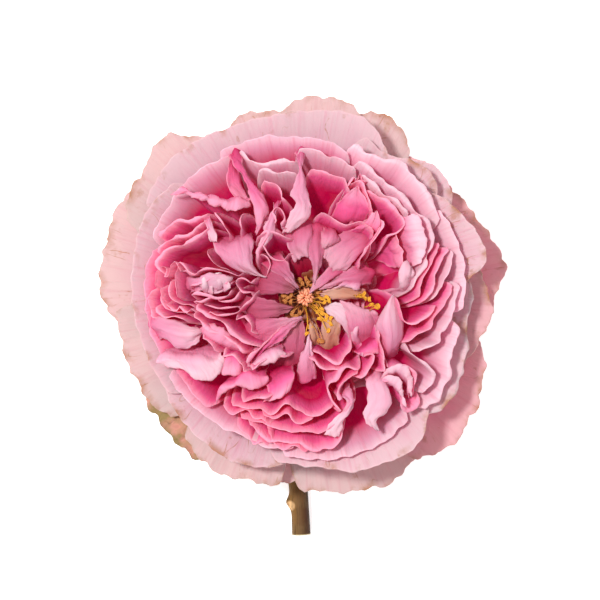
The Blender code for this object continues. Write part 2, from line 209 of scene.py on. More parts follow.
@dataclass(frozen=True)
class PetalTissue(Finish):
    """Rose petal: a thin, velvety, slightly see-through leaf, palest at its lip.

    The cells stand up as small cones, so the eye sees a soft sheen with no sharp gloss, and light
    that comes through from behind is a deeper pink than light from the front. A span gives where a
    colour starts to cover the others and where it covers most; a cover is that most.
    """

    claw: str = "#F3E3C2"
    throat: str = "#CE0A54"
    blade: str = "#F476B4"
    lip: str = "#FCC0DC"
    back: str = "#F0AED0"
    edge: str = "#FFC6DC"
    glow: str = "#FF62AA"
    bruise: str = "#B87C3E"
    # colour of the painted glow that lights the hollows in place of light soaked down through the petals
    hollow: str = "#5E0426"
    # Where along the petal, as a share of its height, claw, throat, blade and lip are pure.
    claw_at: float = 0.16
    throat_at: float = 0.54
    blade_at: float = 0.82
    lip_at: float = 0.96
    see_through: float = 0.46
    glow_cover: float = 0.75
    roughness: float = 0.7
    back_span: Span = (0.6, 1.0)  # share of the height
    back_cover: float = 0.45
    mottle_mm: float = 9.0
    mottle: float = 0.22  # how far the mottling shifts the colours, as a share of the height
    vein_mm: Span = (0.8, 16.0)
    vein_span: Span = (0.5, 0.75)  # value of the noise
    vein_cover: float = 0.22
    vein_height_mm: float = 0.15
    crumple_mm: Span = (2.6, 6.0)
    crumple_height_mm: float = 1.0
    edge_span: Span = (0.6, 0.15)  # millimetres from the free edge
    edge_cover: float = 0.42
    bruising: float = 0.0  # 0 on a sound petal, 1 on one that is going over
    bruise_mm: float = 7.0
    bruise_depth_mm: float = 2.2  # how far in from the free edge bruises reach
    bruise_cover: float = 0.8
    # Values of the noise, and how far full bruising lowers the first of them.
    spot_span: Span = (0.62, 0.64)
    spot_spread: float = 0.14
    blotch_span: Span = (0.7, 0.68)
    blotch_spread: float = 0.1
    blotch_cover: float = 0.6
    crease_mm: Span = (4.5, 11.0)
    crease_line: Span = (0.012, 0.004)
    crease_span: Span = (0.52, 0.6)
    crease_cover: float = 0.8

    def surface(self, tree: Tree) -> bpy.types.Node:
        """Build the shader.

        Args:
            tree: the material's node tree.

        Returns:
            The shader's last node.
        """
        rise, edge, outer = (
            add_node(tree, "Attribute", attribute_name=layer.value).outputs["Fac"]
            for layer in (Layer.RISE, Layer.EDGE, Layer.OUTER))
        veins = petal_noise(tree, Pattern.VEINS, self.vein_mm)
        mottle = petal_noise(tree, Pattern.MOTTLE, (self.mottle_mm, self.mottle_mm))

        # The colour changes along the petal at a height that wanders with the mottling.
        wander = add_node(tree, "Math", {0: mottle, 1: 0.5}, operation="SUBTRACT")
        height = add_node(tree, "Math", {0: wander, 1: self.mottle, 2: rise},
                          operation="MULTIPLY_ADD")
        colour = add_node(tree, "ValToRGB", {"Fac": height}, stops=(
            (self.claw_at, linear(self.claw)), (self.throat_at, linear(self.throat)),
            (self.blade_at, linear(self.blade)), (self.lip_at, linear(self.lip))))
        # Painted glow: where down the petal its crimson light starts, and where it is full.
        painted_glow_depths = ((self.throat_at + self.blade_at) / 2, self.throat_at)
        upper, lined, rimmed, deep = (
            add_node(tree, "MapRange", {
                "Value": value, "From Min": start, "From Max": full, "To Max": cover})
            for value, (start, full), cover in (
                (rise, self.back_span, self.back_cover), (veins, self.vein_span, self.vein_cover),
                (edge, self.edge_span, self.edge_cover), (rise, painted_glow_depths, 1.0)))
        behind = add_node(tree, "Math", {0: upper, 1: outer}, operation="MULTIPLY")
        layers = [(behind, self.back), (lined, self.throat), (rimmed, self.edge)]
        if self.bruising:
            layers.append((self.bruised(tree, edge), self.bruise))
        for cover, over in layers:
            colour = add_node(tree, "Mix", {"Factor": cover, MIX_A: colour, MIX_B: linear(over)},
                              data_type="RGBA")

        crumpled = add_node(tree, "Bump", {
            "Strength": 0.7, "Distance": self.crumple_height_mm * MM,
            "Height": fold_lines(tree, Pattern.CRUMPLE, self.crumple_mm)})
        relief = add_node(tree, "Bump", {
            "Strength": 0.5, "Distance": self.vein_height_mm * MM, "Height": veins,
            "Normal": crumpled})
        # Painted glow: the hollows give off a dim crimson light of their own, which stands in for light
        # that soaks down through all the petals.
        painted_hollow_light = add_node(tree, "Mix", {
            "Factor": deep, MIX_A: (0.0, 0.0, 0.0, 1.0), MIX_B: linear(self.hollow)},
            data_type="RGBA")
        front = add_node(tree, "BsdfPrincipled", {
            "Base Color": colour, "Roughness": self.roughness, "Specular IOR Level": 0.02,
            "IOR": 1.42, "Emission Color": painted_hollow_light, "Emission Strength": 1.0, "Normal": relief})
        glowing = add_node(tree, "Mix", {
            "Factor": self.glow_cover, MIX_A: colour, MIX_B: linear(self.glow)},
            data_type="RGBA", blend_type="MULTIPLY")
        through = add_node(tree, "BsdfTranslucent", {"Color": glowing, "Normal": relief})
        return add_node(tree, "MixShader", {0: self.see_through, 1: front, 2: through})

    def make(self) -> bpy.types.Material:
        """Build the material, whose painted glow in the hollows isn't sampled as a lamp.

        Returns:
            The material.
        """
        material = super().make()
        material.cycles.emission_sampling = "NONE"
        return material

    def bruised(self, tree: Tree, edge: Socket) -> bpy.types.Node:
        """Find where tan shows: in spots along the margin, in blotches and in thin creases.

        Args:
            tree: the material's node tree.
            edge: millimetres from the free edge.

        Returns:
            The node of how much of the petal's own colour the tan covers.
        """
        patches = petal_noise(tree, Pattern.BRUISES, (self.bruise_mm, self.bruise_mm))
        creases = fold_lines(tree, Pattern.CREASES, self.crease_mm)
        spots_from = self.spot_span[0] - self.spot_spread * self.bruising
        blotches_from = self.blotch_span[0] - self.blotch_spread * self.bruising
        near, spots, blotches, lines, creased = (
            add_node(tree, "MapRange", {
                "Value": value, "From Min": start, "From Max": full, "To Max": cover})
            for value, start, full, cover in (
                (edge, self.bruise_depth_mm, 0.0, 1.0),
                (patches, spots_from, self.spot_span[1], 1.0),
                (patches, blotches_from, self.blotch_span[1], self.blotch_cover),
                (creases, *self.crease_line, 1.0),
                (patches, *self.crease_span, self.crease_cover)))
        tan = blotches
        for value, place in ((spots, near), (creased, lines)):
            there = add_node(tree, "Math", {0: value, 1: place}, operation="MULTIPLY")
            tan = add_node(tree, "Math", {0: tan, 1: there}, operation="MAXIMUM")
        return add_node(tree, "Math", {0: tan, 1: self.bruise_cover}, operation="MULTIPLY")


def ripple(along: np.ndarray, wavelength: float, seed: float) -> np.ndarray:
    """An uneven wave that never repeats, from -1 to 1.

    Args:
        along: distances, in millimetres.
        wavelength: the main wave's length, in millimetres.
        seed: a number that shifts the waves.

    Returns:
        The wave's height at each distance.
    """
    turns = 2 * math.pi * along / wavelength
    return (0.55 * np.sin(turns + 12.9 * seed) + 0.3 * np.sin(1.73 * turns + 78.2 * seed)
            + 0.15 * np.sin(2.91 * turns + 37.7 * seed))


def crinkle(along: np.ndarray, wavelength: float, seed: float) -> np.ndarray:
    """An uneven zigzag with softly rounded corners, from -1 to 1.

    Args:
        along: distances, in millimetres.
        wavelength: the usual length of one zig and zag, in millimetres.
        seed: a number that shifts the folds.

    Returns:
        The zigzag's height at each distance.
    """
    turns = 2 * math.pi * along / wavelength
    turns = turns + 1.4 * np.sin(0.31 * turns + 9.1 * seed) + 12.9 * seed
    sharp = 0.65 * np.arcsin(0.97 * np.sin(turns)) + 0.35 * np.arcsin(0.97 * np.sin(2.3 * turns + 4))
    return sharp * 2 / math.pi


def read_table(x: np.ndarray, xs: tuple, ys: tuple) -> np.ndarray:
    """Read a table of points as one smooth curve (cubic Hermite, slopes from the neighbours).

    Args:
        x: where to read.
        xs: the table's arguments, rising.
        ys: the table's values.

    Returns:
        The curve's value at each x.
    """
    xs, ys = np.asarray(xs, float), np.asarray(ys, float)
    slopes = np.empty_like(ys)
    slopes[1:-1] = (ys[2:] - ys[:-2]) / (xs[2:] - xs[:-2])
    slopes[0] = (ys[1] - ys[0]) / (xs[1] - xs[0])
    slopes[-1] = (ys[-1] - ys[-2]) / (xs[-1] - xs[-2])
    i = np.clip(np.searchsorted(xs, x) - 1, 0, len(xs) - 2)
    span = xs[i + 1] - xs[i]
    s = (x - xs[i]) / span
    rising = 3 * s**2 - 2 * s**3
    return (ys[i] * (1 - rising) + ys[i + 1] * rising
            + span * slopes[i] * (s**3 - 2 * s**2 + s)
            + span * slopes[i + 1] * (s**3 - s**2))


def travelled(points: np.ndarray) -> np.ndarray:
    """How far each point is along its path, or up its column of a grid.

    Args:
        points: a path's points, or rows x columns of points.

    Returns:
        The distance from the first point, or from the first row.
    """
    steps = np.linalg.norm(np.diff(points, axis=0), axis=-1)
    return np.concatenate((np.zeros_like(steps[:1]), np.cumsum(steps, axis=0)))


def arc(start: np.ndarray, bend: np.ndarray, end: np.ndarray, t: np.ndarray) -> np.ndarray:
    """Points of the curve that sets out toward a bend and arrives from it."""
    return (1 - t) ** 2 * start + 2 * t * (1 - t) * bend + t**2 * end


PATH_STEPS = 24  # points on the curve between two given points


def smooth_path(points: Points, count: int, measured: int = 2) -> tuple[np.ndarray, float]:
    """A smooth curve through points, read at equal steps.

    Args:
        points: rows of numbers, of which the first are a place.
        count: how many points to return.
        measured: how many numbers of a row make the place that steps are measured by.

    Returns:
        The points along the curve, and its length.
    """
    knots = np.asarray(points, float)
    pieces = []
    for i in range(len(knots) - 1):
        start, end = knots[i], knots[i + 1]
        before, after = knots[max(i - 1, 0)], knots[min(i + 2, len(knots) - 1)]
        reach = np.linalg.norm(end - start) / 3
        leave = start + (end - before) / np.linalg.norm(end - before) * reach
        arrive = end - (after - start) / np.linalg.norm(after - start) * reach
        t = np.linspace(0, 1, PATH_STEPS)[:, None]
        q = 1 - t
        pieces.append((q**3 * start + 3 * q * q * t * leave + 3 * q * t * t * arrive
                       + t**3 * end)[: None if i == len(knots) - 2 else -1])
    path = np.vstack(pieces)
    along = travelled(path[:, :measured])
    steps = np.linspace(0, along[-1], count)
    return np.column_stack([np.interp(steps, along, c) for c in path.T]), along[-1]


def put(name: str, data: bpy.types.ID) -> bpy.types.Object:
    """Put a mesh, a light or a camera in the scene.

    Args:
        name: the new object's name.
        data: what the object shows.

    Returns:
        The object.
    """
    made = bpy.data.objects.new(name, data)
    bpy.context.scene.collection.objects.link(made)
    return made


def unit(vectors: np.ndarray) -> np.ndarray:
    """The same vectors with length 1."""
    return vectors / np.maximum(np.linalg.norm(vectors, axis=-1, keepdims=True), 1e-9)


def grid_normals(points: np.ndarray) -> np.ndarray:
    """Unit normals of a grid of points; on a petal they point away from the flower's axis."""
    return unit(np.cross(np.gradient(points, axis=1), np.gradient(points, axis=0)))


# A leaf thins toward its free edge: over how many millimetres, and to what share of itself.
TAPER_MM = 0.8
THINNEST = 0.35


@dataclass
class Sheet:
    """The middle surface of a thin leaf, as a grid of points, with what its material reads."""

    points: np.ndarray  # rows x columns x 3, in millimetres
    rise: np.ndarray
    edge: np.ndarray
    place: np.ndarray  # rows x columns x 2, in millimetres
    thickness: np.ndarray

    def mesh(self, name: str, seed: float) -> bpy.types.Mesh:
        """Close the sheet into a thin solid.

        Args:
            name: the mesh's name.
            seed: the piece's own number, for its material.

        Returns:
            The mesh, in metres in the part's frame.
        """
        rows, columns = self.points.shape[:2]
        count = rows * columns
        taper = np.clip(self.edge / TAPER_MM, THINNEST, 1)
        shift = grid_normals(self.points) * (self.thickness * taper / 2)[..., None]
        outer, inner = self.points + shift, self.points - shift
        vertices = (np.concatenate((outer.reshape(-1, 3), inner.reshape(-1, 3))) + AXIS) * MM

        index = np.arange(count).reshape(rows, columns)
        quads = np.stack((index[:-1, :-1], index[:-1, 1:], index[1:, 1:], index[1:, :-1]), axis=-1)
        front = quads.reshape(-1, 4)
        back = front[:, ::-1] + count
        ring = np.concatenate((index[0, :], index[1:, -1], index[-1, -2::-1], index[-2:0:-1, 0]))
        following = np.roll(ring, -1)
        wall = np.stack((following, ring, ring + count, following + count), axis=-1)
        faces = np.concatenate((front, back, wall))

        mesh = bpy.data.meshes.new(name)
        mesh.vertices.add(len(vertices))
        mesh.vertices.foreach_set("co", vertices.astype(np.float32).ravel())
        mesh.loops.add(faces.size)
        mesh.loops.foreach_set("vertex_index", faces.astype(np.int32).ravel())
        mesh.polygons.add(len(faces))
        mesh.polygons.foreach_set("loop_start", np.arange(0, faces.size, 4, dtype=np.int32))
        mesh.update(calc_edges=True)
        # The narrow wall round the edge is flat, so that it doesn't bend the light on the faces.
        walls = np.arange(len(faces)) >= len(front) + len(back)
        mesh.attributes.new("sharp_face", "BOOLEAN", "FACE").data.foreach_set("value", walls)

        carried = {
            Layer.RISE: np.tile(self.rise.ravel(), 2),
            Layer.EDGE: np.tile(self.edge.ravel(), 2),
            Layer.OUTER: np.repeat((1.0, 0.0), count),
            Layer.SEED: np.full(2 * count, seed),
        }
        for layer, values in carried.items():
            attribute = mesh.attributes.new(layer.value, "FLOAT", "POINT")
            attribute.data.foreach_set("value", values.astype(np.float32))
        place = np.zeros((2 * count, 3), np.float32)
        place[:, :2] = np.tile(self.place.reshape(-1, 2), (2, 1))
        attribute = mesh.attributes.new(PLACE_LAYER, "FLOAT_VECTOR", "POINT")
        attribute.data.foreach_set("vector", place.ravel())
        return mesh


@dataclass
class Part:
    """Pieces of the flower that share one finish."""

    finish: Finish
    slot_name: str = field(default="inner_petal", kw_only=True)  # the record's material slot
    # Each piece's mesh, in metres in the part's frame, and the CAD node it replaces, if any.
    made: list[tuple[bpy.types.Mesh, str]] = field(init=False, default_factory=list)

    def dress(self) -> None:
        """Give the pieces their finish and put them in the flower."""
        material = self.finish.make()
        for mesh, node in self.made:
            mesh.materials.append(material)
            piece = put(mesh.name, mesh)
            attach(piece, BODY)
            if node:
                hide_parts(node)
            LOG.info("%s: %d faces", mesh.name, len(mesh.polygons))


@dataclass(frozen=True)
class Fountain:
    """The family of lines that petals hang on, numbered by the radius at which each ends.

    The tables give, for each line, the height of its end on the dome and the slopes, in degrees,
    at which it leaves the receptacle and arrives.
    """

    shell: tuple[float, ...] = (2, 8, 14, 20, 28, 34, 38, 42, 46, 50, 54)
    crest: tuple[float, ...] = (30, 37, 41.5, 43.5, 43, 41, 38.8, 35.5, 29, 20.5, 13)
    leaving: tuple[float, ...] = (84, 74, 64, 54, 42, 33, 28, 23, 14, 5, 0)
    arriving: tuple[float, ...] = (86, 80, 75, 71, 64, 55, 43, 29, 13, -4, -16)
    handle: float = 0.38
    claw_radius: float = 2.0
    claw_radius_step: float = 0.125
    claw_height: float = 20.5
    claw_height_step: float = 0.07
    searched: Span = (0.2, 1.6)  # the part of a line that is searched for a radius
    halvings: int = 26

    def point(self, shell: np.ndarray, t: np.ndarray) -> tuple[np.ndarray, np.ndarray]:
        """Radius and height on lines, from the claw (t = 0) to the dome (t = 1) and past it.

        Args:
            shell: each line's number.
            t: where to read along each line.

        Returns:
            The radii and the heights.
        """
        steps = shell - self.shell[0]
        claw_r = self.claw_radius + steps * self.claw_radius_step
        claw_z = self.claw_height - steps * self.claw_height_step
        crest_z = read_table(shell, self.shell, self.crest)
        leaving = np.radians(read_table(shell, self.shell, self.leaving))
        arriving = np.radians(read_table(shell, self.shell, self.arriving))
        span = np.hypot(shell - claw_r, crest_z - claw_z)
        inside = np.clip(t, 0, 1)
        past = np.maximum(t - 1, 0) * span
        rest = 1 - inside
        weights = rest**3, 3 * rest**2 * inside, 3 * rest * inside**2, inside**3
        reach = self.handle * span
        radius = (weights[0] * claw_r + weights[1] * (claw_r + np.cos(leaving) * reach)
                  + weights[2] * (shell - np.cos(arriving) * reach) + weights[3] * shell)
        height = (weights[0] * claw_z + weights[1] * (claw_z + np.sin(leaving) * reach)
                  + weights[2] * (crest_z - np.sin(arriving) * reach) + weights[3] * crest_z)
        return radius + past * np.cos(arriving), height + past * np.sin(arriving)

    def parameter(self, shell: np.ndarray, radius: np.ndarray) -> np.ndarray:
        """Where each line reaches a radius, by bisection.

        Args:
            shell: each line's number.
            radius: the radius to reach.

        Returns:
            The parameter t on each line.
        """
        low, high = (np.full_like(radius, t) for t in self.searched)
        for _ in range(self.halvings):
            middle = (low + high) / 2
            short = self.point(shell, middle)[0] < radius
            low, high = np.where(short, middle, low), np.where(short, high, middle)
        return (low + high) / 2


FOUNTAIN = Fountain()


@dataclass(frozen=True)
class Petal:
    """One petal: the plan of its lip, and what makes it differ from its neighbours."""

    name: str
    lip: Points  # (x, y) of the crest, or (x, y, rim) where the rim's width changes
    shells: tuple[float, ...] = ()  # the lip's line; empty where it is the lip's own radius
    rim: float | None = None  # width that turns over, to the right of the lip's direction
    sink: float = 0.0  # share of its line by which the lip stays below the dome
    over: float = 0.0  # how far its line's own radius is inside the lip's
    tail: float | None = None  # how far it goes on past each end of its lip, where it isn't usual


def hidden_ring(shell: float, count: int, start: float, sink: float) -> tuple[Petal, ...]:
    """A ring of short petals that fill the hollows between the tall ones.

    Args:
        shell: the line that their lips end on.
        count: how many petals go round.
        start: the bearing of the first one, in degrees.
        sink: share of their lines by which the lips stay below the dome.

    Returns:
        The ring's petals.
    """
    petals = []
    for number in range(count):
        middle = start + 360 / count * number
        lip = []
        for step in range(5):
            turn = math.radians(middle + 360 / count * (step / 4 - 0.5))
            out = shell * (1 + 0.035 * math.sin(3.7 * number + 2.1 * step + shell))
            lip.append((out * math.cos(turn), out * math.sin(turn)))
        petals.append(Petal(f"hidden_{shell:g}_{number}", tuple(lip), sink=sink, rim=0.4))
    return tuple(petals)


LIP_SAMPLES = 161
TAIL_SAMPLES = 24
COLUMNS_LEAST = 14
COLUMNS_MOST = 110
JAG_MM = 5.5  # length of the waves in a lip's height
RIM_WAVE_MM = 11.0  # length of the waves in a rim's width
# Shares of a rim's width: how far it waves, its least, what it loses by the lip's ends, and how
# far it hangs.
RIM_WAVE = 1.1
RIM_LEAST = 0.15
RIM_NARROWED = 0.8
RIM_DROOP = 0.12
SEED_STEP = 0.618  # the seeds of neighbours are this far apart, and wrap round at 1


@dataclass
class Whorl(Part):
    """Petals of one kind: the sizes they share, and the table of each."""

    name: str
    framed: tuple[Petal, ...]  # petals that replace a CAD node of the same name
    extra: tuple[Petal, ...] = ()
    rim: float = 0.22  # width that turns over at the lip
    turn_deg: float = 60.0
    rim_rise: float = 1.2
    wave: float = 0.32
    wave_mm: float = 11.0
    frill: float = 0.09
    frill_mm: float = 4.2
    jag: float = 0.009  # unevenness of the lip's height, as a share of the petal's
    claw_share: float = 0.75  # width of the claw, as a share of the petal's
    full_at: float = 0.5  # how far up the petal is as wide as its lip
    shoulder: float = 0.04
    tail: float = 3.5  # how far a petal goes on past each end of its lip, sinking as it goes
    tail_sink: float = 0.3
    foot: float = 0.03
    thickness: float = 0.2
    spacing: float = 0.75
    rows: int = 30
    rim_rows: int = 5
    clearance: float = 0.2
    depth_mm: float = 16.0  # how far under the lip a petal's colours go on changing; the deeper colours are partly the petal's own and partly painted shade in the gaps between lips

    def lip(self, petal: Petal) -> tuple[float, np.ndarray, tuple[np.ndarray, ...]]:
        """Follow a petal's lip, and go on past each end as the petal slips behind its neighbours.

        Args:
            petal: the petal's row of the table.

        Returns:
            The lip's length; places along it, from -1 to 1; and at each place the line that the
            petal hangs on, its bearing, where it ends on its line, and the width of its rim.
        """
        rim = self.rim if petal.rim is None else petal.rim
        tail = self.tail if petal.tail is None else petal.tail
        path, length = smooth_path(
            tuple((*point[:2], (*point, rim)[2]) for point in petal.lip), LIP_SAMPLES)
        radius = np.hypot(path[:, 0], path[:, 1])
        angle = np.unwrap(np.arctan2(path[:, 1], path[:, 0]))
        places = np.linspace(-1, 1, len(path))
        shell = np.maximum(radius - petal.over, FOUNTAIN.shell[0])
        if petal.shells:
            shell = read_table(places, np.linspace(-1, 1, len(petal.shells)), petal.shells)
        top = FOUNTAIN.parameter(shell, radius) * (1 - petal.sink)

        steps = np.linspace(0, 1, TAIL_SAMPLES + 1)[1:]
        swing = math.copysign(tail, angle[-1] - angle[0]) / radius[[0, -1]]
        angle = np.concatenate(((angle[0] - steps * swing[0])[::-1], angle,
                                angle[-1] + steps * swing[1]))
        sunk = 1 - self.tail_sink * steps**1.5
        top = np.concatenate(((top[0] * sunk)[::-1], top, top[-1] * sunk))
        shell = np.pad(shell, TAIL_SAMPLES, mode="edge")
        width = np.pad(path[:, 2], TAIL_SAMPLES, mode="edge")
        length += 2 * tail
        past = tail * 2 / length * steps
        places = np.concatenate((-1 - past[::-1], places, 1 + past))
        return length, places / places[-1], (shell, angle, top, width)

    def sheet(self, petal: Petal, seed: float) -> Sheet:
        """Shape one petal.

        Args:
            petal: the petal's row of the table.
            seed: the petal's own number.

        Returns:
            The petal's middle surface.
        """
        length, places, (shell, angle, top, width) = self.lip(petal)
        columns = min(max(round(length / self.spacing), COLUMNS_LEAST), COLUMNS_MOST)
        across = np.linspace(-1, 1, columns)[None, :]
        up = np.linspace(0, 1, self.rows)[:, None]
        spread = self.claw_share + (1 - self.claw_share) * np.sin(
            math.pi / 2 * np.minimum(1, up / self.full_at)) ** 0.9
        u = across * spread
        along = (u + 1) / 2 * length
        here_shell, here_angle, here_top = (np.interp(u, places, v) for v in (shell, angle, top))
        loose = up**3
        here_shell = here_shell + loose * (self.wave * ripple(along, self.wave_mm, seed)
                                           + self.frill * crinkle(along, self.frill_mm, seed + 0.3))
        here_top = here_top * (1 - self.shoulder * np.abs(u) ** 6
                               + self.jag * ripple(along, JAG_MM, seed + 0.6))
        r, z = FOUNTAIN.point(here_shell, self.foot + (here_top - self.foot) * up)
        points = np.stack((r * np.cos(here_angle), r * np.sin(here_angle), z), axis=-1)

        lip_along = (across[0] + 1) / 2 * length
        uneven = np.maximum(1 + RIM_WAVE * ripple(lip_along, RIM_WAVE_MM, seed + 0.1), RIM_LEAST)
        narrowed = 1 - RIM_NARROWED * across[0] ** 4
        rim = np.interp(across[0], places, width) * narrowed * uneven
        grid = np.concatenate((points, self.turned_rim(points, rim)))
        grid[..., 2] = np.maximum(grid[..., 2], self.clearance)
        return self.measured(grid, length)

    def turned_rim(self, points: np.ndarray, width: np.ndarray) -> np.ndarray:
        """Roll the rim over beyond a petal's last row.

        Args:
            points: the petal's grid.
            width: the rim's width along the lip; it turns to the other side where it is negative.

        Returns:
            The rim's rows.
        """
        rise_way = unit(points[-1] - points[-3])
        side = unit(np.cross(unit(np.gradient(points[-1], axis=0)), rise_way))
        rolled = []
        for step in range(1, self.rim_rows + 1):
            phi = math.radians(self.turn_deg) * step / self.rim_rows
            rise = np.minimum(0.8 * np.abs(width), self.rim_rise) * math.sin(phi)
            reach = width * (1 - math.cos(phi))
            row = points[-1] + rise_way * rise[:, None] + side * reach[:, None]
            row[:, 2] -= RIM_DROOP * np.abs(width) * (step / self.rim_rows) ** 2
            rolled.append(row)
        return np.array(rolled)

    def measured(self, grid: np.ndarray, length: float) -> Sheet:
        """Work out what the material reads on a petal's grid.

        Args:
            grid: the petal's points.
            length: the lip's length.

        Returns:
            The petal's sheet.
        """
        rows, columns = grid.shape[:2]
        climbed = travelled(grid)
        to_lip = climbed[-1] - climbed
        across = np.linspace(-1, 1, columns)[None, :]
        to_side = (1 - np.abs(across)) * length / 2 * np.linspace(0.4, 1, rows)[:, None]
        height = np.clip(climbed / np.maximum(climbed[self.rows - 1], 1e-6), 0, 1)
        # Colour deepens by millimetres below the lip: partly the petal's own deeper base, partly painted
        # shade down in the gaps between neighbouring lips.
        rise = np.maximum(1 - to_lip / self.depth_mm, np.minimum(height, self.finish.throat_at))
        place = np.stack((np.broadcast_to(across * length / 2, (rows, columns)), climbed), axis=-1)
        thickness = self.thickness * (1.4 - 0.4 * height)
        return Sheet(grid, rise, np.minimum(to_lip, to_side), place, thickness)

    def build(self) -> None:
        """Shape every petal of the whorl."""
        for number, petal in enumerate(self.framed + self.extra):
            seed = (number * SEED_STEP + len(self.name) * 0.37) % 1
            mesh = self.sheet(petal, seed).mesh(petal.name + "_petal", seed)
            self.made.append((mesh, petal.name if number < len(self.framed) else ""))


def rings_mesh(name: str, rings: list[np.ndarray], rise: np.ndarray) -> bpy.types.Mesh:
    """Skin closed rings into one mesh per run, with a cap on each end.

    Args:
        name: the mesh's name.
        rings: runs of rings, each an array of rings x sides x 3, in millimetres.
        rise: one number per ring of every run, for the material.

    Returns:
        The mesh, in metres in the part's frame.
    """
    vertices: list[np.ndarray] = []
    faces: list[tuple[int, ...]] = []
    start = 0
    for run in rings:
        count, sides = run.shape[:2]
        vertices.append(run.reshape(-1, 3))
        for i in range(count - 1):
            for j in range(sides):
                k = (j + 1) % sides
                low, high = start + i * sides, start + (i + 1) * sides
                faces.append((low + j, low + k, high + k, high + j))
        faces.append(tuple(start + j for j in reversed(range(sides))))
        faces.append(tuple(start + (count - 1) * sides + j for j in range(sides)))
        start += count * sides
    mesh = bpy.data.meshes.new(name)
    placed = (np.concatenate(vertices) + AXIS) * MM
    mesh.from_pydata(placed.tolist(), [], faces)
    mesh.shade_smooth()
    repeats = [run.shape[1] for run in rings for _ in range(run.shape[0])]
    attribute = mesh.attributes.new(Layer.RISE.value, "FLOAT", "POINT")
    attribute.data.foreach_set("value", np.repeat(rise, repeats).astype(np.float32))
    return mesh


def sweep(path: np.ndarray, radii: np.ndarray, sides: int) -> np.ndarray:
    """Round rings along a path.

    Args:
        path: the centre line's points.
        radii: the radius at each point, or at each point and side.
        sides: how many points each ring has.

    Returns:
        Rings x sides x 3 points.
    """
    ahead = unit(np.gradient(path, axis=0))
    right = unit(np.cross(ahead, (0.31, 0.95, 0.11)))
    for i in range(1, len(path)):
        level = right[i - 1] - ahead[i] * np.dot(right[i - 1], ahead[i])
        right[i] = level / np.linalg.norm(level)
    up = np.cross(ahead, right)
    turn = np.linspace(0, 2 * math.pi, sides, endpoint=False)
    radii = np.broadcast_to(np.asarray(radii).reshape(len(path), -1), (len(path), sides))
    return (path[:, None] + radii[..., None] * (np.cos(turn)[None, :, None] * right[:, None]
                                                + np.sin(turn)[None, :, None] * up[:, None]))


@dataclass(frozen=True)
class Flap:
    """A broad sheet of petal, given by the lines across it from its hidden part to its tip."""

    name: str
    lines: tuple[Points, ...]  # each one's (x, y, z) points run anticlockwise round the flower
    crinkle: float = 0.3
    deep: float = 0.62  # how far up the petal's colours its first line lies
    node: str = ""  # the CAD node that it replaces, if any


